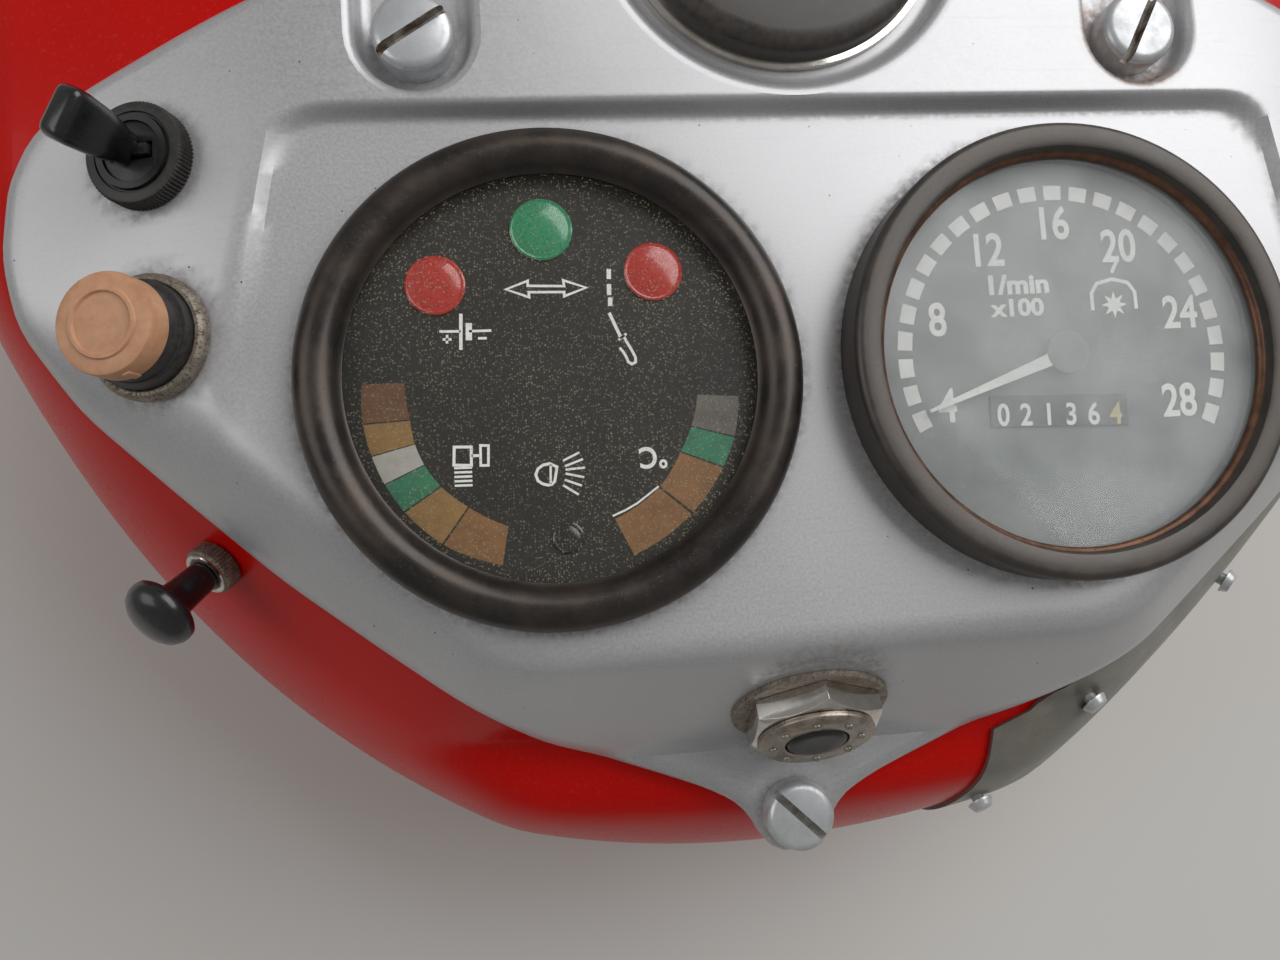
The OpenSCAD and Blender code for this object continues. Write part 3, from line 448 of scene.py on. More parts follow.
# moulded plastic polished by hands: black with a soft shine
BLACK_GLOSS = moulded("polished_black_plastic", "#121214", "#1f1f21", 0.24, 8.0, 0.3)
# moulded phenolic that sun and dust have greyed, with a fine bloom
BLACK_WORN = moulded("greyed_black_phenolic", "#242322", "#3a3836", 0.5, 1.5)
# moulded bakelite: tan, matt and a little cloudy
TAN = moulded("tan_bakelite", "#b17f5d", "#cd9c78", 0.5, 6.0)
# moulded rubber-like cap, weathered: brown-black with a dull bloom
CAP_BLACK = moulded("weathered_black_cap", "#302c29", "#453f3a", 0.42, 2.5)
# screen-printed dials and inks: flat and even
DIAL_BLACK = moulded("black_dial_print", "#121211", "#191817", 0.6)
DIAL_GREY = moulded("dark_grey_dial_print", "#676d6c", "#737877", 0.6)
INK_WHITE = moulded("white_dial_ink", "#f4f4f0", "#e6e6e1", 0.6)
INK_YELLOW = moulded("yellowed_digit_ink", "#cfc48e", "#bdb17a", 0.6)
# unlit scale windows of tinted film: flat, a little uneven
INK_GREEN = moulded("green_scale_window", "#2a7f5c", "#1f6348", 0.5)
INK_TAN = moulded("tan_scale_window", "#94713f", "#7d5e35", 0.5)
INK_TAN_DEEP = moulded("deep_tan_scale_window", "#8b6239", "#75512f", 0.5)
INK_BROWN = moulded("brown_scale_window", "#6d4a2e", "#5a3b24", 0.5)
INK_GREY = moulded("grey_scale_window", "#66625c", "#55514b", 0.5)
INK_PALE = moulded("pale_scale_window", "#b3b0a9", "#9e9b93", 0.5)
# the counter's strip behind its digits: dark, half dull
COUNTER_DARK = moulded("counter_window", "#454a49", "#4e5453", 0.5)

# plain glass with grains of road dust, drawn as coarse as they show; and under a milky haze
GLASS_DUSTY = dusty_glass("dusty_gauge_glass", "#a0957e", 0.6, 0.03, 0.4)
GLASS_HAZED = dusty_glass("hazed_gauge_glass", "#c9cecd", 1.5, 0.2, 0.06)
LENS_GREEN = jewel("green_lamp_lens", "#2b8e63", "#1c7250")
LENS_RED = jewel("red_lamp_lens", "#b8302a", "#96221e")
# the blue beam lens, drawn near black as painted shade
LENS_BLUE_SHADED = jewel("blue_lamp_lens_painted_dark", "#1a1b20", "#0d0e12")


# ---------------------------------------------------------------- modelling helpers

AT_ORIGIN = Matrix.Identity(4)


def clear_selection():
    """Object mode, nothing selected."""
    if bpy.context.mode != "OBJECT":
        bpy.ops.object.mode_set(mode="OBJECT")
    bpy.ops.object.select_all(action="DESELECT")


def take(piece):
    """Selects one piece alone and makes it active."""
    clear_selection()
    piece.select_set(True)
    bpy.context.view_layer.objects.active = piece


def edit_all():
    """Edit mode of the active piece, all of it selected."""
    bpy.ops.object.mode_set(mode="EDIT")
    bpy.ops.mesh.select_all(action="SELECT")


def finish_piece(piece, name, material, body="console", replaces=(), angle=30):
    """Applies a piece's place, smooths faces that meet under the angle, names and paints it,
    and hands it to its body and to the CAD nodes that it replaces."""
    take(piece)
    bpy.ops.object.transform_apply(location=True, rotation=True, scale=True)
    bpy.ops.object.shade_smooth_by_angle(angle=radians(angle))
    piece.name = piece.data.name = name
    piece.data.materials.clear()
    piece.data.materials.append(material)
    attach(piece, body)
    if replaces:
        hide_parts(*replaces)
    return piece


def modify(piece, kind, **settings):
    """Adds a modifier with its settings and applies it."""
    take(piece)
    mod = piece.modifiers.new(kind.title(), kind)
    for name, value in settings.items():
        setattr(mod, name, value)
    bpy.ops.object.modifier_apply(modifier=mod.name)


def cut(piece, tools, operation="DIFFERENCE"):
    """Boolean with each tool in turn; the tools are removed."""
    for tool in tools:
        modify(piece, "BOOLEAN", operation=operation, object=tool, solver="EXACT")
        bpy.data.objects.remove(tool)


def join(pieces):
    """Joins the pieces into the first of them."""
    clear_selection()
    for p in pieces:
        p.select_set(True)
    bpy.context.view_layer.objects.active = pieces[0]
    bpy.ops.object.join()
    return pieces[0]


def rod(place, radius, z0, z1, vertices=64):
    """Plain cylinder between two heights, for cutting."""
    clear_selection()
    bpy.ops.mesh.primitive_cylinder_add(vertices=vertices, radius=radius * mm,
                                        depth=(z1 - z0) * mm,
                                        location=(0, 0, (z0 + z1) / 2 * mm))
    piece = bpy.context.active_object
    bpy.ops.object.transform_apply()
    piece.data.transform(place)
    return piece


def block(place, lo, hi):
    """Plain box between two corners, for cutting or as a start."""
    clear_selection()
    bpy.ops.mesh.primitive_cube_add(size=1)
    piece = bpy.context.active_object
    piece.scale = [(b - a) * mm for a, b in zip(lo, hi)]
    piece.location = [(a + b) / 2 * mm for a, b in zip(lo, hi)]
    bpy.ops.object.transform_apply()
    piece.data.transform(place)
    return piece


def prism(outline, low, high):
    """Upright prism of an outline, between two heights over the platform, for cutting."""
    clear_selection()
    bpy.ops.mesh.primitive_circle_add(vertices=len(outline), fill_type="NGON")
    piece = bpy.context.active_object
    for v, (x, y) in zip(piece.data.vertices, outline):
        v.co = Vector((x, y, PLATFORM_Z + low)) * mm
    edit_all()
    bpy.ops.mesh.extrude_region_move(
        TRANSFORM_OT_translate={"value": (0, 0, (high - low) * mm)})
    bpy.ops.mesh.select_all(action="SELECT")
    bpy.ops.mesh.normals_make_consistent(inside=False)
    bpy.ops.object.mode_set(mode="OBJECT")
    return piece


def draped(rows):
    """Grid of faces over rows of points in millimetres."""
    across = len(rows[0])
    clear_selection()
    bpy.ops.mesh.primitive_grid_add(x_subdivisions=across - 1, y_subdivisions=len(rows) - 1,
                                    size=1)
    piece = bpy.context.active_object
    for i, row in enumerate(rows):
        for j, point in enumerate(row):
            piece.data.vertices[i * across + j].co = Vector(point) * mm
    return piece


def turned(place, profile, segments=64):
    """Turned piece: a circle drawn out and scaled along the profile of (radius, height)."""
    clear_selection()
    r, z = max(profile[0][0], 0.001), profile[0][1]
    bpy.ops.mesh.primitive_circle_add(vertices=segments, radius=r * mm, location=(0, 0, z * mm))
    piece = bpy.context.active_object
    bpy.ops.object.transform_apply()
    edit_all()
    for r1, z1 in profile[1:]:
        r1 = max(r1, 0.001)
        bpy.ops.mesh.extrude_edges_move(TRANSFORM_OT_translate={"value": (0, 0, (z1 - z) * mm)})
        bpy.ops.transform.resize(value=(r1 / r, r1 / r, 1), center_override=(0, 0, z1 * mm))
        r, z = r1, z1
    bpy.ops.mesh.select_all(action="SELECT")
    bpy.ops.mesh.remove_doubles(threshold=0.000004)
    bpy.ops.mesh.normals_make_consistent(inside=False)
    bpy.ops.object.mode_set(mode="OBJECT")
    piece.data.transform(place)
    return piece


def softened(node, material, width, body="console", segments=2):
    """Copy of a CAD node, its loose triangles merged and its edges broken by a small radius."""
    clear_selection()
    piece = bpy.data.objects.new(node, nodes[node].data.copy())
    bpy.context.scene.collection.objects.link(piece)
    take(piece)
    edit_all()
    bpy.ops.mesh.remove_doubles(threshold=0.000002)
    bpy.ops.mesh.tris_convert_to_quads(face_threshold=radians(1), shape_threshold=radians(180))
    bpy.ops.mesh.dissolve_limited(angle_limit=radians(0.5))
    bpy.ops.object.mode_set(mode="OBJECT")
    modify(piece, "BEVEL", width=width * mm, segments=segments, limit_method="ANGLE",
           angle_limit=radians(35))
    return finish_piece(piece, node + "_finished", material, body, (node,))


def shade(piece, name, strength):
    """Writes an amount to each vertex, from strength(x, y) in millimetres."""
    layer = piece.data.attributes.new(name, "FLOAT", "POINT")
    for k, v in enumerate(piece.data.vertices):
        layer.data[k].value = strength(v.co.x / mm, v.co.y / mm)


# ---------------------------------------------------------------- panel cover

def make_panel():
    """Open sheet of the cover up to the front ring: rows of points that follow its outline,
    the platform's step and the rounded rim, with the lip turned down round the edge."""
    rim = [RIM_R * (1 - cos(radians(a))) for a in (90, 72, 58, 45, 33, 22, 11, 0)]
    rows = []
    for y in steps((REAR_Y, -178, 16), (-178, -140, 19), (-140, -118, 14), (-118, -3, 36),
                   (-3, 9, 20), (9, RING_Y, 22)):
        w = max(1.6, panel_half(y))
        k = stretch_at(y, 16)
        edge = w - min(rim[0] * k, 0.7 * w)
        side = SIDE_X - SIDE_SKEW * min(y, 0)
        a, b = min(side - 2, 0.55 * edge), min(side + 8, 0.8 * edge)
        half = steps((0, a, 40), (a, b, 12), (b, edge, 20))[:-1]
        half += [w - (w - edge) * r / rim[0] for r in rim]
        rows.append([
            (x, y, PLATFORM_Z + (panel_top(x, y) - rim_drop(min((w - abs(x)) / k, y - REAR_Y))))
            for x in [-x for x in reversed(half[1:])] + half])
    piece = draped(rows)
    take(piece)
    bpy.ops.object.mode_set(mode="EDIT")
    bpy.ops.mesh.select_mode(type="EDGE")
    bpy.ops.mesh.select_all(action="SELECT")
    bpy.ops.mesh.region_to_loop()
    bpy.ops.object.mode_set(mode="OBJECT")
    # the front row has no lip, because the front ring follows there
    for edge in piece.data.edges:
        if all(piece.data.vertices[v].co.y > (RING_Y - 0.01) * mm for v in edge.vertices):
            edge.select = False
    bpy.ops.object.mode_set(mode="EDIT")
    bpy.ops.mesh.extrude_edges_move(
        TRANSFORM_OT_translate={"value": (0, 0, -(LIP_H - RIM_R) * mm)})
    bpy.ops.mesh.select_mode(type="VERT")
    bpy.ops.mesh.select_all(action="SELECT")
    bpy.ops.mesh.normals_make_consistent(inside=False)
    bpy.ops.object.mode_set(mode="OBJECT")
    return piece


def make_front_ring():
    """Front of the cover: the flat ring round the steering column, with its rolled rim."""
    def rim(r):
        """Quarter round of the rolled rim, at radius r."""
        return [(BULGE_R - RIM_R + r * sin(radians(a)), FRONT_RISE - RIM_R + r * cos(radians(a)))
                for a in range(0, 91, 10)]
    foot = FRONT_RISE - LIP_H
    outline = [(CUP_R, FRONT_RISE)] + rim(RIM_R) + [(BULGE_R, foot), (BULGE_R - SHEET, foot)]
    outline += rim(RIM_R - SHEET)[::-1] + [(CUP_R, FRONT_RISE - SHEET), (CUP_R, FRONT_RISE)]
    piece = turned(level(0, COLUMN_Y, 0), outline, 180)
    take(piece)
    edit_all()
    bpy.ops.mesh.bisect(plane_co=(0, RING_Y * mm, 0), plane_no=(0, -1, 0), use_fill=True,
                        clear_outer=True)
    bpy.ops.object.mode_set(mode="OBJECT")
    return piece


def pocket_ring(offset, run):
    """U outline round a front screw, grown by offset, open towards the front; run lists how
    far ahead of the screw the points of its sides lie."""
    arc = [(offset * cos(radians(a)), offset * sin(radians(a))) for a in range(180, 361, 12)]
    return [(-offset, y) for y in run] + arc + [(offset, y) for y in reversed(run)]


def make_pocket(side):
    """Sunk pocket of a front screw: a closed band of wall and floor along the U outline."""
    rows = []
    for r, z in ((POCKET_R, 4.0), (15.0, 3.85), (14.2, 3.3), (13.5, 2.4), (13.2, 1.0),
                 (12.8, -0.4), (12.0, -1.3), (10.8, -1.9), (9.6, -2.0), (0.1, -2.0), (0.1, -4.0),
                 (10.4, -4.0), (13.4, -3.2), (15.0, -1.4), (15.2, 1.4), (POCKET_R, 2.1)):
        row = []
        for x, y in pocket_ring(r, range(POCKET_RUN, 0, -1)):
            x, y = side * SCREW_X + x, SCREW_Y + y
            # the walls run out where the cover's rim rounds down, the floor stays level
            drop = rim_drop((panel_half(y) - abs(x)) / stretch_at(y, 16))
            share = min(max((z - SCREW_FLOOR) / (FRONT_RISE - SCREW_FLOOR), 0), 1)
            row.append((x, y, PLATFORM_Z + (z - drop * share)))
        rows.append(row)
    piece = draped(rows + rows[:1])
    take(piece)
    edit_all()
    bpy.ops.mesh.remove_doubles(threshold=0.000002)
    bpy.ops.mesh.select_all(action="DESELECT")
    bpy.ops.mesh.select_non_manifold()
    bpy.ops.mesh.edge_face_add()
    bpy.ops.mesh.select_all(action="SELECT")
    bpy.ops.mesh.normals_make_consistent(inside=False)
    bpy.ops.object.mode_set(mode="OBJECT")
    return piece


def pocket_cutter(side):
    """Prism that clears the cover where a pocket goes."""
    ring = pocket_ring(POCKET_R, (CUTTER_RUN,))
    return prism([(side * SCREW_X + x, SCREW_Y + y) for x, y in ring], -9, 15)


def cover_prism():
    """Prism of the cover's outline, a little smaller, for trimming the pockets."""
    ys = steps((-190, -178, 8), (-178, 60, 60), (60, 124, 24))
    side = [(max(1.5, panel_half(y) - TRIM * stretch_at(y, 9)), y) for y in ys]
    return prism(side + [(-x, y) for x, y in reversed(side)], -30, 30)


def panel_soil_and_shade(x, y):
    """Dirt and painted shade on the cover: a darkening at its rim, in the platform's step and
    round the fittings.
    """
    def near(cx, cy, r0, r1):
        """1 within r0 of a fitting, falling to 0 at r1."""
        return 1 - ease((hypot(x - cx, y - cy) - r0) / (r1 - r0))
    s = 0.25 * (1 - ease((panel_half(y) - abs(x)) / stretch_at(y, 9) / 2.5))
    inside = smin(-y, SIDE_X - SIDE_SKEW * y - abs(x), CORNER_R)
    # painted shade in the platform's step
    if crown(x, y) > 0.5:
        s = max(s, 0.22 * (1 - ease(abs(inside - 0.2) / 1.4)))
    # painted contact shadow at the base of each gauge's ring
    for side, r in ((-1, COMBI_R), (1, TACHO_R)):
        s = max(s, 0.5 * near(side * GAUGE_X, GAUGE_Y, r, r + 3.5))
    for cx, cy, r in ((-SWITCH_X, KEY_Y, 12), (-SWITCH_X, FUSE_Y, 15), (SWITCH_X, KEY_Y, 12),
                      (SWITCH_X, FUSE_Y, 15), (0, TAB_Y, 9.5)):
        s = max(s, 0.4 * near(cx, cy, r, r + 3))
    s = max(s, 0.4 * near(-SCREW_X, SCREW_Y, 9, 13), 0.5 * near(SCREW_X, SCREW_Y, 9, 15))
    return max(s, 0.4 * near(0, STARTER_Y, 16, 22))


def panel_rust(x, y):
    """Rust run in the right screw's pocket, on the driver's side of the screw."""
    away = hypot(x - SCREW_X, y - SCREW_Y)
    side = (SCREW_X - x) * 0.7 + (SCREW_Y - y) * 0.7
    return ease((side + 2) / 6) * (1 - ease(abs(away - 13.2) / 3.4))


panel = make_panel()
cup = turned(level(0, COLUMN_Y, 0), [
    (CUP_R, 4.0), (47.4, 3.94), (46.4, 3.6), (45.6, 3.0), (45.0, 2.2), (44.5, 1.2), (43.9, 0.5),
    (43.1, 0.1), (42.0, 0.0), (24.0, 0.0), (24.0, -SHEET), (43.4, -SHEET), (45.6, -1.0),
    (46.6, 0.6), (47.2, 1.8), (CUP_R, 2.1), (CUP_R, 4.0)], 128)
# the holes are cut in the open sheet, before it gets its thickness
cut(panel, [rod(level(0, COLUMN_Y, 0), CUP_R, -12, 20, 128)]
    + [pocket_cutter(s) for s in (-1, 1)]
    + [rod(on_gauge(s), GAUGE_HOLE_R, -15, 15, 96) for s in (-1, 1)]
    + [rod(on_wing(s, y), SWITCH_HOLE_R, -12, 12, 40) for s in (-1, 1) for y in (KEY_Y, FUSE_Y)]
    + [rod(on_apron(STARTER_Y), STARTER_HOLE_R, -12, 12, 48),
       rod(level(0, TAB_Y, -TAB_DROP), SCREW_HOLE_R, -12, 12, 32)])
modify(panel, "SOLIDIFY", thickness=SHEET * mm, offset=-1, use_even_offset=False)
pockets = []
for s in (-1, 1):
    pocket = make_pocket(s)
    cut(pocket, [cover_prism()], "INTERSECT")
    pockets.append(pocket)
panel = join([panel, make_front_ring(), cup] + pockets)
# the soil amount carries dirt and painted shade
shade(panel, "soil_and_shade", panel_soil_and_shade)
shade(panel, "rust", panel_rust)
finish_piece(panel, "pressed_panel_cover", SILVER, replaces=("panel_cover",), angle=32)


# ---------------------------------------------------------------- cowl and side plate

def inside_panel(x, y, grow):
    """Whether a point lies in the cover's outline grown by grow."""
    return (REAR_Y - grow < y < COLUMN_Y + BULGE_R + grow
            and abs(x) < panel_half(y) + grow * stretch_at(y, 9))


def sheet_band(off, foot, grow, outline):
    """Cowl-shaped sheet as a band of loops: up the wall, over the shoulder and in to the
    cover's outline grown by grow. outline lists where the stations lie."""
    a, b, front, r = COWL_A + off, COWL_B + off, COWL_FRONT + off, SHOULDER_R + off

    def plan(kind, v, d):
        """Point of the cowl's plan at a station, d in from the wall."""
        if kind == "rear":
            return a * (1 - d / b) * cos(v), -b * (1 - d / b) * sin(v)
        if kind == "front":
            return v * (a - d), front - d * 5 / SHOULDER_R
        return kind * (a - d), v * (front - d * 5 / SHOULDER_R)

    def opening(x, y):
        """Point of the grown outline on the way in to the cover's middle."""
        lo, hi = 0.0, 1.0
        cx, cy = 0.0, -20.0
        for _ in range(22):
            t = (lo + hi) / 2
            if inside_panel(mix(cx, x, t), mix(cy, y, t), grow):
                lo = t
            else:
                hi = t
        return mix(cx, x, lo), mix(cy, y, lo)

    loops = []
    lift = LIP_H + LIP_GAP - off
    tops = [PLATFORM_Z + cowl_top(*plan(k, v, 0)) - lift - r for k, v in outline]
    for t in steps((0, 1, 10)):
        loops.append([(*plan(k, v, 0), mix(foot, top, t)) for (k, v), top in zip(outline, tops)])
    for f in steps((0, 90, 12))[1:]:
        d, drop = r * (1 - cos(radians(f))), r * (1 - sin(radians(f)))
        loops.append([(*plan(k, v, d), PLATFORM_Z + cowl_top(*plan(k, v, d)) - lift - drop)
                      for k, v in outline])
    ends = [opening(*plan(k, v, r)) for k, v in outline]
    for t in steps((0, 1, 16))[1:]:
        loop = []
        for (k, v), end in zip(outline, ends):
            x, y = plan(k, v, r)
            x, y = mix(x, end[0], t), mix(y, end[1], t)
            loop.append((x, y, PLATFORM_Z + cowl_top(x, y) - lift))
        loops.append(loop)
    return loops


def band_piece(loops, closed, thickness):
    """Sheet of the given thickness over the loops, its outside where they lie."""
    piece = draped([loop + loop[:1] if closed else loop for loop in loops])
    take(piece)
    edit_all()
    bpy.ops.mesh.remove_doubles(threshold=0.000002)
    bpy.ops.mesh.normals_make_consistent(inside=False)
    bpy.ops.object.mode_set(mode="OBJECT")
    # a face of the wall at the far right tells whether the outside points outwards
    side = max(piece.data.polygons, key=lambda p: p.center.x)
    if side.normal.x < 0:
        edit_all()
        bpy.ops.mesh.flip_normals()
        bpy.ops.object.mode_set(mode="OBJECT")
    modify(piece, "SOLIDIFY", thickness=thickness * mm, offset=-1, use_even_offset=False)
    return piece


around = [("rear", radians(v)) for v in steps((0, 180, 150))[:-1]]
around += [(-1, v) for v in steps((0, 1, 26))[:-1]]
around += [("front", v) for v in steps((-1, 1, 40))[:-1]]
around += [(1, v) for v in steps((1, 0, 26))[:-1]]
cowl = band_piece(sheet_band(0, 0, -10, around), True, COWL_T)
front_window = block(AT_ORIGIN, (-COWL_A + FRAME_W, COWL_FRONT - 12, FRAME_W),
                     (COWL_A - FRAME_W, COWL_FRONT + 12, PLATFORM_Z - SHOULDER_R - FRAME_W))
cut(cowl, [front_window, rod(on_knob(), 5.5, -20, 20, 32)])
sleeve = turned(level(0, TAB_Y, -TAB_DROP),
                [(SCREW_HOLE_R, -24), (7.5, -24), (7.5, -2.8), (SCREW_HOLE_R, -2.8),
                 (SCREW_HOLE_R, -24)], 40)
seats = [turned(level(s * SCREW_X, SCREW_Y, FRONT_RISE - LIP_H - LIP_GAP),
                [(SCREW_HOLE_R, 0), (SCREW_HOLE_R, -COWL_T), (16, -COWL_T), (16, 0),
                 (SCREW_HOLE_R, 0)], 48) for s in (-1, 1)]
cowl = join([cowl, sleeve] + seats)
finish_piece(cowl, "red_sheet_cowl", RED, replaces=("cowl", "cowl_front_frame"), angle=35)

right_rear = [("rear", radians(v)) for v in steps((8, 82, 90))]
plate = band_piece(sheet_band(GAP + PLATE_T, 70, 7, right_rear), False, PLATE_T)
take(plate)
bpy.ops.object.mode_set(mode="EDIT")
# the plate's straight front edge, and its slanted edge beside the starter
for point, normal in (((0, -62, 0), (0, 1, 0)), ((66, -150, 0), (-65, 12, 0))):
    bpy.ops.mesh.select_all(action="SELECT")
    bpy.ops.mesh.bisect(plane_co=Vector(point) * mm, plane_no=Vector(normal).normalized(),
                        use_fill=True, clear_outer=True)
bpy.ops.object.mode_set(mode="OBJECT")
finish_piece(plate, "grey_side_plate", PLATE_GREY, replaces=("side_plate",), angle=35)


# ---------------------------------------------------------------- gauges

def dial_face(place, points, z, name, material):
    """Flat printed shape on a dial, its outline in millimetres of the gauge."""
    clear_selection()
    bpy.ops.mesh.primitive_circle_add(vertices=len(points), fill_type="NGON")
    piece = bpy.context.active_object
    for v, (x, y) in zip(piece.data.vertices, points):
        v.co = Vector((x, y, z)) * mm
    piece.data.transform(place)
    return finish_piece(piece, name, material)


def dial_line(place, points, width, z, name, material, closed=False):
    """Printed line of the given width through the points."""
    path = [Vector(p) for p in points]
    n = len(path)
    rows = []
    for i in range(n + 1 if closed else n):
        here = path[i % n]
        before = path[(i - 1) % n] if closed or i > 0 else None
        after = path[(i + 1) % n] if closed or i < n - 1 else None
        runs = [(b - a).normalized() for a, b in ((before, here), (here, after)) if a and b]
        run = sum(runs, Vector((0, 0))).normalized()
        reach = width / 2 / max(0.5, run.dot(runs[0]))
        aside = Vector((-run.y, run.x)) * reach * INK_SPREAD
        rows.append([(*(here + s * aside), z) for s in (1, -1)])
    piece = draped(rows)
    piece.data.transform(place)
    return finish_piece(piece, name, material)


def lettering(place, text, height, x, y, z, name, material, narrow=0.85, turn=0, weight=0.03):
    """Printed plain characters of the given height, centred on a point of the dial."""
    clear_selection()
    bpy.ops.object.text_add(location=(0, 0, 0))
    piece = bpy.context.active_object
    piece.data.body = text
    piece.data.size = height / 0.73 * mm        # a capital is 0.73 of the type's size
    piece.data.align_x, piece.data.align_y = "CENTER", "CENTER"
    piece.data.offset = weight * height * mm
    bpy.ops.object.convert(target="MESH")
    piece = bpy.context.active_object
    piece.data.transform(place @ Matrix.Translation(Vector((x, y, z)) * mm)
                         @ Matrix.Rotation(radians(turn), 4, "Z")
                         @ Matrix.Diagonal((narrow, 1, 1, 1)))
    return finish_piece(piece, name, material)


def scale_window(outer, inner):
    """Outline of a scale window that bows between its corners, with a thin gap at its ends."""
    def edge(ends, start, stop):
        """Curved edge between two corners, from share start to share stop of its way."""
        (r0, a0), (r1, a1) = [(hypot(x, y), atan2(y, x) % (2 * pi)) for x, y in ends]
        return [(mix(r0, r1, t) * cos(mix(a0, a1, t)), mix(r0, r1, t) * sin(mix(a0, a1, t)))
                for t in steps((start, stop, 8))]
    return edge(outer, 0.02, 0.98) + edge(inner, 0.98, 0.02)


def sector(r0, r1, a0, a1):
    """Outline of a printed block between two radii and two angles."""
    n = max(3, int(abs(a1 - a0) / 2))
    outer = [(r1 * cos(radians(a)), r1 * sin(radians(a))) for a in steps((a0, a1, n))]
    return outer + [(r0 * cos(radians(a)), r0 * sin(radians(a))) for a in steps((a1, a0, n))]


def lens_dome(place, x, y, radius, name, material, replaces):
    """Lamp lens: a low dome with a fine groove round it."""
    r = radius
    shape = [(r, 0), (r, 0.55), (r - 0.4, 0.8), (r - 0.8, 0.7), (r - 1.1, 0.75), (0.72 * r, 1.0),
             (0.5 * r, 1.2), (0.25 * r, 1.32), (0, 1.36)]
    piece = turned(place @ Matrix.Translation(Vector((x, y, 0)) * mm), shape, 48)
    return finish_piece(piece, name, material, replaces=replaces)


def bezel(side, outline, name, material, node):
    """Ring of a gauge, turned from its section."""
    piece = turned(on_gauge(side), outline, 160)
    return finish_piece(piece, name, material, replaces=(node,), angle=40)


def bezel_seat(h, dial_z):
    """Inner part of a bezel's section, from the glass's edge down to the dial's edge."""
    seat = h - GLASS_SUNK
    return [(VIEW_R, seat + GAP), (CASE_R - 0.2, seat + GAP),
            (CASE_R - 0.2, seat - GLASS_T - 0.1), (VIEW_R + 0.5, seat - GLASS_T - 0.1),
            (VIEW_R + 0.5, dial_z + 0.1), (CASE_R + GAP, dial_z + 0.1), (CASE_R + GAP, 0)]


# the left gauge's bezel is a half-round roll, the right one a flat ring with a raised lip
roll = [(COMBI_R - ROLL_R + ROLL_R * cos(radians(a)), COMBI_H - 5.4 + 5.4 * sin(radians(a)))
        for a in range(0, 151, 10)]
bezel(-1, [(CASE_R + GAP, 0), (COMBI_R, 0)] + roll + [(VIEW_R + 0.5, 5.4)]
      + bezel_seat(COMBI_H, COMBI_DIAL_Z), "rolled_gauge_bezel", BEZEL_ROLLED, "combi_bezel")
edge = [(TACHO_R - 2 + 2 * cos(radians(a)), TACHO_H - 2 + 2 * sin(radians(a)))
        for a in range(0, 91, 15)]
flat_bezel = bezel(
    1, [(CASE_R + GAP, 0), (TACHO_R, 0)] + edge
    + [(49.6, TACHO_H - 0.1), (48.9, TACHO_H - 0.4), (48.6, TACHO_H - 1.2),
       (48.4, TACHO_H - 2.4), (48.1, TACHO_H - 2.7), (47.6, TACHO_H - 2.9),
       (VIEW_R + 0.1, TACHO_H - 3.3)]
    + bezel_seat(TACHO_H, TACHO_DIAL_Z), "flat_gauge_bezel", BEZEL_FLAT, "tacho_bezel")
flat_bezel.data.materials.append(BEZEL_LIP)
middle = on_gauge(1).translation
for face in flat_bezel.data.polygons:
    far = hypot(face.center.x - middle.x, face.center.y - middle.y) / mm
    if far < VIEW_R + 1.3 and face.center.z / mm > PLATFORM_Z + TACHO_H - GLASS_SUNK + 0.5:
        face.material_index = 1

left = on_gauge(-1, COMBI_TURN)
ink = COMBI_DIAL_Z + INK_LIFT
# the two scales: corners along the outer and the inner edge, and the windows between them
scales = [
    ([(-43.4, 2), (-43.8, -7.3), (-42.4, -14.7), (-40, -21.3), (-36.2, -27.8), (-28.3, -35.9),
      (-15.1, -41.9)],
     [(-33.9, 1.6), (-33.3, -7.2), (-32.7, -12.7), (-31, -17.6), (-27.7, -22.8), (-21.9, -28),
      (-13.2, -33.2)],
     [INK_BROWN, INK_TAN, INK_PALE, INK_GREEN, INK_TAN, INK_TAN_DEEP]),
    ([(42.8, -7.4), (40.8, -17.1), (37.4, -23.9), (29.1, -34), (14.3, -42.5)],
     [(33, -6.3), (30.8, -13.8), (27.7, -19.5), (22, -27.3), (10.7, -33.8)],
     [INK_GREY, INK_GREEN, INK_TAN_DEEP, INK_TAN_DEEP])]
windows = [(outer[k:k + 2], inner[k:k + 2], material)
           for outer, inner, inks in scales for k, material in enumerate(inks)]
for k, (outer, inner, material) in enumerate(windows):
    dial_face(left, scale_window(outer, inner), ink, "scale_window_%d" % (k + 1), material)

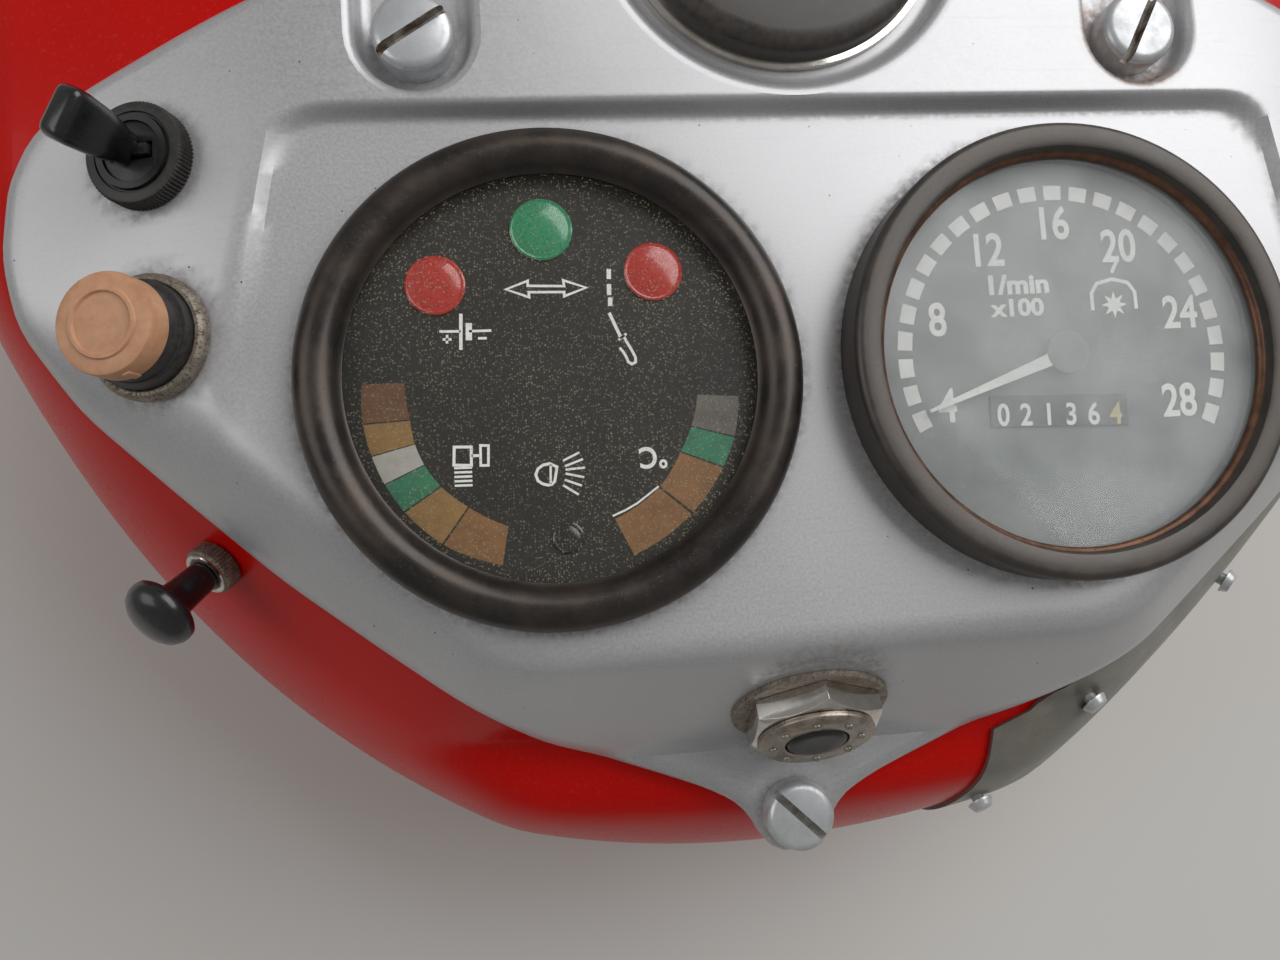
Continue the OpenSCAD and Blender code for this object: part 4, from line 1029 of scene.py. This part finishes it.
# signs of the left dial: points in millimetres of the gauge, width, and whether they close
print_lines = {
    "direction_arrow": ([(-9.3, 21.5), (-4.1, 23.2), (-4.2, 22.0), (4.2, 21.4), (4.1, 22.8),
                         (9.3, 20.7), (4.0, 19.0), (4.1, 20.0), (-4.1, 20.5), (-4.1, 19.3)],
                        0.45, True),
    "battery_thin_plate": ([(-20.0, 16.5), (-20.7, 8.1)], 0.6, False),
    "battery_thick_plate": ([(-18.4, 14.2), (-18.7, 10.2)], 1.1, False),
    "battery_wire_left": ([(-25.2, 12.7), (-20.4, 12.4)], 0.45, False),
    "battery_wire_right": ([(-18.5, 12.3), (-13.4, 12.1)], 0.45, False),
    "battery_plus_across": ([(-24.6, 10.8), (-22.6, 10.7)], 0.45, False),
    "battery_plus_upright": ([(-23.5, 11.8), (-23.7, 9.8)], 0.45, False),
    "battery_minus": ([(-16.6, 10.5), (-14.6, 10.4)], 0.45, False),
    "oil_drop_1": ([(15.0, 24.8), (14.8, 22.4)], 0.8, False),
    "oil_drop_2": ([(14.7, 21.2), (14.5, 18.6)], 0.8, False),
    "oil_drop_3": ([(14.7, 18.0), (14.5, 16.0)], 0.8, False),
    "oil_spout": ([(14.1, 14.4), (16.4, 8.1)], 0.6, False),
    "oil_spout_bar": ([(15.7, 7.8), (17.7, 9.2)], 0.45, False),
    "oil_can_hook": ([(16.8, 9), (17.6, 7.2), (18.6, 5.1), (19.3, 3.4), (19.2, 2.3),
                      (18.3, 1.9), (17.5, 2.5), (17.1, 3.8), (16.5, 5), (15.8, 6)], 0.5, False),
    "fuel_pump_window": ([(-24.0, -14.1), (-20.2, -14.4), (-20.5, -18.6), (-24.4, -18.2)],
                         0.5, True),
    "fuel_pump_link": ([(-20.3, -16.4), (-18.6, -16.5)], 0.5, False),
    "fuel_pump_hose": ([(-18.1, -14.2), (-16.3, -14.4), (-16.7, -18.9), (-18.4, -18.8)],
                       0.45, True),
    "headlamp_shell": ([(-1.2, -20.6), (-2.8, -19.7), (-4.4, -19.9), (-5.6, -20.7), (-6.2, -22),
                        (-5.8, -23.4), (-4.8, -24.2), (-3.6, -24.6), (-2.7, -24.5),
                        (-2, -23.8)], 0.5, True),
    "headlamp_rim": ([(-2.6, -19.9), (-3.0, -24.4)], 0.4, False),
    "headlamp_ray_1": ([(0.3, -19.3), (4.2, -17.7)], 0.4, False),
    "headlamp_ray_2": ([(0.6, -20.6), (4.9, -19.3)], 0.4, False),
    "headlamp_ray_3": ([(0.7, -21.4), (5.2, -21.3)], 0.4, False),
    "headlamp_ray_4": ([(0.6, -22.3), (4.8, -23.5)], 0.4, False),
    "headlamp_ray_5": ([(0.3, -23.7), (4.1, -25.4)], 0.4, False),
    "headlamp_ray_6": ([(-0.2, -24.9), (3.2, -27.4)], 0.4, False),
    # a white line along the temperature window's inner edge: a painted highlight of that edge,
    # drawn as print
    "temperature_edge_highlight": ([(21.8, -27.1), (18.9, -29), (16.4, -30.6), (13.6, -31.9),
                         (10.5, -33)], 0.35, False),
}
for k in range(5):
    print_lines["fuel_pump_foot_%d" % (k + 1)] = (
        [(-24.4 - 0.05 * k, -18.9 - k), (-20.4 - 0.05 * k, -19.1 - k)], 0.4, False)
for name, (points, width, closed) in print_lines.items():
    dial_line(left, points, width, ink, name, INK_WHITE, closed)
lettering(left, "°C", 5.0, 21.2, -20.0, ink, "temperature_sign", INK_WHITE, 0.9, 180)
lens_at = left @ Matrix.Translation((0, 0, COMBI_DIAL_Z * mm))
for x, y, r, name, material, replaces in (
        (0, 35, 7.3, "green_lamp_lens", LENS_GREEN, ("combi_lens_green",)),
        (-25.3, 23.4, 6.9, "charge_lamp_lens", LENS_RED, ("combi_lens_red",)),
        (25.3, 23.4, 6.9, "oil_lamp_lens", LENS_RED, ()),
        # the beam lens is blue; its near-black colour is painted shade
        (0, -37, 3.6, "beam_lamp_lens", LENS_BLUE_SHADED, ("combi_lens_blue",))):
    lens_dome(lens_at, x, y, r, name, material, replaces)

right = on_gauge(1)
ink = TACHO_DIAL_Z + INK_LIFT
for text, x, y in (("4", -30.7, -11.8), ("8", -31.4, 9.2), ("12", -17.5, 25.9), ("16", 0, 32.1),
                   ("20", 16.9, 25.9), ("24", 31.4, 8.7), ("28", 28.8, -13.2)):
    lettering(right, text, 8.2, x, y, ink, "speed_number_" + text, INK_WHITE, 0.82)
lettering(right, "1/min", 4.7, -10.5, 17.3, ink, "speed_unit", INK_WHITE, 1.15, 0, 0.05)
lettering(right, "x100", 4.2, -10.7, 11.6, ink, "speed_factor", INK_WHITE, 1.15, 0, 0.05)
for k in range(25):
    a = 201.5 - 9.4 * k
    dial_face(right, sector(38.4, 42, a + 3.2, a - 3.2), ink, "speed_block_%d" % (k + 1),
              INK_WHITE)
# sign of the power take-off: a bracket over a toothed shaft end
dial_line(right, [(8.6, 10.4), (8.6, 14.6), (10.2, 17.0), (14.3, 18.0), (18.4, 17.0),
                  (20.0, 14.6), (20.0, 10.4)], 0.7, ink, "shaft_sign_guard", INK_WHITE)
star = [((1.6 if k % 2 else 3.4) * cos(radians(22.5 * k)) + 14.3,
         (1.6 if k % 2 else 3.4) * sin(radians(22.5 * k)) + 11.6) for k in range(16)]
dial_face(right, star, ink, "shaft_sign_star", INK_WHITE)
dial_line(right, [(14.4, 19.6), (16.0, 22.4)], 0.7, ink, "shaft_sign_mark", INK_WHITE)
# hours counter, its last digit yellowed
for k, digit in enumerate("021364"):
    lettering(right, digit, 5.4, -17.2 + 5.75 * k, -14.6 - 0.2 * k, TACHO_DIAL_Z + 0.58,
              "counter_digit_%d" % (k + 1), INK_YELLOW if k == 5 else INK_WHITE, 0.85, -2)
hub = turned(right, [(0, 4.15), (5.3, 4.15), (5.25, 5.2), (4.9, 5.38), (0, 5.4)], 48)
finish_piece(hub, "needle_hub_cover", DIAL_GREY, "needle")


# ---------------------------------------------------------------- controls

def knurled(place, profile, segments, from_radius, depth):
    """Turned piece whose outermost faces are cut into fine teeth."""
    piece = turned(AT_ORIGIN, profile, segments)
    for v in piece.data.vertices:
        tooth = round(atan2(v.co.y, v.co.x) / (2 * pi) * segments)
        v.select = tooth % 2 == 1 and hypot(v.co.x, v.co.y) > from_radius * mm
    for part in (piece.data.edges, piece.data.polygons):
        part.foreach_set("select", [False] * len(part))
    bpy.ops.object.mode_set(mode="EDIT")
    bpy.ops.mesh.select_mode(type="VERT")
    bpy.ops.transform.resize(value=(1 - depth / from_radius, 1 - depth / from_radius, 1),
                             center_override=(0, 0, 0))
    bpy.ops.object.mode_set(mode="OBJECT")
    piece.data.transform(place)
    return piece


wing = on_wing(-1, KEY_Y)
finish_piece(knurled(wing, [(8.75, 0.1), (12.0, 0.1), (12.0, 4.0), (11.5, 4.7), (11.0, 4.9),
                            (9.4, 4.9), (9.2, 4.5), (8.75, 4.5), (8.75, 0.1)], 160, 11.9, 0.45),
             "knurled_switch_nut", BLACK_WORN, replaces=("key_switch_nut",), angle=25)
softened("key_barrel", BLACK, 0.25, "key")
# the key's bow is drawn up out of a block in four steps, wider and then narrower
bow = block(AT_ORIGIN, (-2.8, -3.9, 4.9), (2.8, 3.9, 8))
take(bow)
bpy.ops.object.mode_set(mode="EDIT")
bpy.ops.mesh.select_mode(type="FACE")
bpy.ops.mesh.select_all(action="DESELECT")
bpy.ops.object.mode_set(mode="OBJECT")
for face in bow.data.polygons:
    face.select = face.normal.z > 0.9
bpy.ops.object.mode_set(mode="EDIT")
for rise, wide, thick in ((2.4, 1.2, 1.1), (5, 1.18, 1.15), (5, 1.08, 1.0), (4.2, 0.98, 0.95)):
    bpy.ops.mesh.extrude_region_move(TRANSFORM_OT_translate={"value": (0, 0, rise * mm)})
    bpy.ops.transform.resize(value=(thick, wide, 1))
bpy.ops.object.mode_set(mode="OBJECT")
modify(bow, "BEVEL", width=2.1 * mm, segments=5, limit_method="ANGLE", angle_limit=radians(50))
bow.data.transform(wing @ Matrix.Rotation(radians(150), 4, "Z")
                   @ Matrix.Rotation(radians(8), 4, "Y"))
blade = block(wing, (-4.4, -1.3, -1.9), (4.4, 1.3, 6.1))
modify(blade, "BEVEL", width=0.3 * mm, segments=2)
finish_piece(join([bow, blade]), "key_with_long_bow", BLACK_GLOSS, "key", ("ignition_key",), 40)

wing = on_wing(-1, FUSE_Y)
finish_piece(turned(wing, [(12.4, 0.1), (14.6, 0.1), (14.6, 1.5), (14.2, 2.3), (13.5, 3.0),
                           (12.8, 3.1), (12.4, 2.8), (12.4, 0.1)], 96),
             "tarnished_fuse_ring", TARNISHED, replaces=("fuse_ring",), angle=35)
softened("fuse_holder", BLACK_WORN, 0.35)
cap = turned(wing, [(0, 10.1), (11.3, 10.1), (11.3, 15.1), (11.0, 15.8), (10.3, 16.1),
                    (7.9, 16.1), (7.6, 16.6), (6.9, 16.6), (6.5, 16.0), (0, 15.9)], 96)
nib = block(wing @ Matrix.Rotation(radians(-70), 4, "Z"), (10.8, -0.9, 10.3), (11.9, 0.9, 14.6))
modify(nib, "BEVEL", width=0.35 * mm, segments=2)
finish_piece(join([cap, nib]), "bakelite_fuse_cap", TAN, replaces=("fuse_cap",), angle=40)

apron = on_apron(STARTER_Y)
finish_piece(turned(apron, [(11.9, 0.1), (20.5, 0.1), (20.5, 1.1), (20.1, 1.5), (11.9, 1.5),
                            (11.9, 0.1)], 96),
             "starter_disc", TARNISHED, replaces=("starter_washer",))
softened("starter_nut", CHROME, 0.45, segments=3)
softened("starter_bush", CRIMP, 0.3)
for k in range(8):
    dot_at = (apron @ Matrix.Rotation(radians(45 * k + 12), 4, "Z")
              @ Matrix.Translation((11.4 * mm, 0, 0)))
    dot = turned(dot_at, [(1.25, 10.3), (1.15, 10.8), (0.8, 11.2), (0.4, 11.35), (0, 11.4)], 20)
    finish_piece(dot, "crimp_dot_%d" % (k + 1), CRIMP)
finish_piece(turned(apron, [(0, 2), (8, 2), (8, 9.6), (7.7, 10.5), (6.9, 11.05), (5.8, 11.2),
                            (4.4, 11.1), (2.0, 10.9), (0, 10.85)], 64),
             "starter_push_button", BLACK, "starter", ("starter_button",), 40)

stem = on_knob()
finish_piece(knurled(stem, [(3.4, 0.6), (7.0, 0.6), (7.0, 4.7), (6.4, 5.3), (5.4, 5.6),
                            (4.0, 5.6), (3.4, 5.2), (3.4, 0.6)], 88, 6.9, 0.4),
             "knurled_knob_collar", TARNISHED, replaces=("pull_knob_nut",), angle=25)
finish_piece(turned(stem, [(4.9, 5.5), (6.1, 5.3), (6.1, 5.7), (5.7, 5.95), (5.2, 5.95),
                           (4.9, 5.7), (4.9, 5.5)], 64), "bright_collar_ring", CHROME)
finish_piece(turned(stem, [(0, -45), (3, -45), (3, 5.9), (4.3, 6.0), (4.3, 8), (4.6, 14),
                           (5.0, 18.3), (5.6, 18.9), (8.5, 19.1), (9.3, 19.8), (9.5, 20.9),
                           (9.3, 22.3), (8.4, 23.9), (6.6, 25.2), (4.4, 26.0), (2.0, 26.35),
                           (0, 26.4)], 72),
             "black_pull_knob", BLACK_GLOSS, "stop_knob", ("pull_knob",), 40)

finish_piece(turned(level(0, COLUMN_Y, 0),
                    [(12.5, -10), (22.5, -10), (22.5, 1.5), (39, 1.5), (39, 6.0), (38.6, 7.0),
                     (37.6, 7.9), (35.6, 8.8), (34.4, 9.0), (14.0, 9.0), (13.0, 8.7),
                     (12.5, 8.0), (12.5, -10)], 128),
             "weathered_column_cap", CAP_BLACK, replaces=("column_cap",), angle=35)
softened("column_washer", CHROME, 0.3)


# ---------------------------------------------------------------- screws

def screw(place, depth, name, slot, replaces=()):
    """Slotted cover screw: flat head with a rounded edge, its slot in a second material."""
    piece = turned(AT_ORIGIN, [(0, -depth), (4, -depth), (4, 0), (HEAD_R, 0), (HEAD_R, 5.3),
                               (9.3, 6.3), (8.6, 7.1), (7.4, HEAD_H), (0, HEAD_H)], 72)
    cut(piece, [block(AT_ORIGIN, (-12, -SLOT_HALF, SLOT_FLOOR), (12, SLOT_HALF, 9))])
    piece.data.transform(place)
    finish_piece(piece, name, SCREW_SILVER, replaces=replaces, angle=35)
    piece.data.materials.append(slot)
    into = place.inverted()
    for face in piece.data.polygons:
        x, y, z = into @ face.center / mm
        if (abs(y) < SLOT_HALF + 0.05 and abs(x) < HEAD_R - 0.1
                and SLOT_FLOOR - 0.1 < z < HEAD_H - 0.05):
            face.material_index = 1


screw(level(-SCREW_X, SCREW_Y, SCREW_FLOOR, 33), 16, "cover_screw_left", SLOT_RUST,
      ("panel_screws",))
screw(level(SCREW_X, SCREW_Y, SCREW_FLOOR, 62), 16, "cover_screw_right", SLOT_RUST)
screw(level(0, TAB_Y, -TAB_DROP + 0.1, -45), 20, "cover_screw_rear", SLOT_WITH_PAINTED_SHADE)
softened("side_plate_screws", SCREW_SILVER, 0.3)


# ---------------------------------------------------------------- other CAD nodes

# these keep their CAD shape and only get their material
for painted, material in (
        (("combi_glass",), GLASS_DUSTY), (("tacho_glass",), GLASS_HAZED),
        (("combi_dial",), DIAL_BLACK), (("tacho_dial",), DIAL_GREY),
        (("tacho_counter",), COUNTER_DARK), (("tacho_needle",), INK_WHITE),
        (("combi_case", "tacho_case"), CASE_BLACK),
        (("combi_bracket", "tacho_bracket", "bracket_nuts"), ZINC),
        (("gauge_terminals", "starter_terminals"), BRASS), (("cowl_base_frame",), RED),
        (("key_switch_body", "light_switch_body", "horn_body"), BLACK)):
    for node in painted:
        nodes[node].data.materials.clear()
        nodes[node].data.materials.append(material)
# the right wing's light switch and horn button
softened("light_switch_nut", BLACK_WORN, 0.3)
softened("light_switch_knob", BLACK_GLOSS, 0.8, "light_knob", 3)
softened("horn_ring", TARNISHED, 0.4)
softened("horn_button", BLACK_GLOSS, 0.6, "horn", 3)


# ---------------------------------------------------------------- stage, light and camera

clear_selection()
bpy.ops.mesh.primitive_plane_add(size=30, location=(0, 0, -0.0005))
floor = bpy.context.active_object
floor.name = "floor"
floor_paint, tree, shader = surface("pale_floor", Roughness=0.8)
shader.inputs["Base Color"].default_value = linear("#c9c8c4")
floor.data.materials.append(floor_paint)


def softbox(name, place, aim, size, power):
    """Soft rectangular studio light; place, aim and size in metres, power in watts."""
    data = bpy.data.lights.new(name, "AREA")
    data.shape, data.size, data.size_y, data.energy = "RECTANGLE", size[0], size[1], power
    lamp = bpy.data.objects.new(name, data)
    lamp.location = place
    lamp.rotation_euler = (Vector(aim) - Vector(place)).to_track_quat("-Z", "Y").to_euler()
    bpy.context.scene.collection.objects.link(lamp)


softbox("key_light", (0.95, 0.8, 1.45), (0, -0.03, 0.2), (1.7, 1.5), 27)
softbox("fill_light", (-1.3, 0.1, 1.2), (0, -0.03, 0.15), (1.0, 1.0), 5)
world = bpy.data.worlds.new("studio")
world.use_nodes = True
sky = world.node_tree.nodes["Background"].inputs
sky["Color"].default_value = linear("#eeecea")
sky["Strength"].default_value = 0.3
bpy.context.scene.world = world

camera_data = bpy.data.cameras.new("camera")
camera_data.lens = PHOTO_FOCAL / PHOTO_WIDTH * SENSOR
camera_data.sensor_width = SENSOR
camera_data.clip_start = 0.01
camera = bpy.data.objects.new("camera", camera_data)
turn = Vector(CAMERA_TURN)
camera.matrix_world = (Matrix.Translation(CAMERA_PLACE)
                       @ Matrix.Rotation(turn.length, 4, turn.normalized()))
bpy.context.scene.collection.objects.link(camera)
bpy.context.scene.camera = camera
# the colours are matched to the photograph with plain sRGB output
bpy.context.scene.view_settings.view_transform = "Standard"

clear_selection()
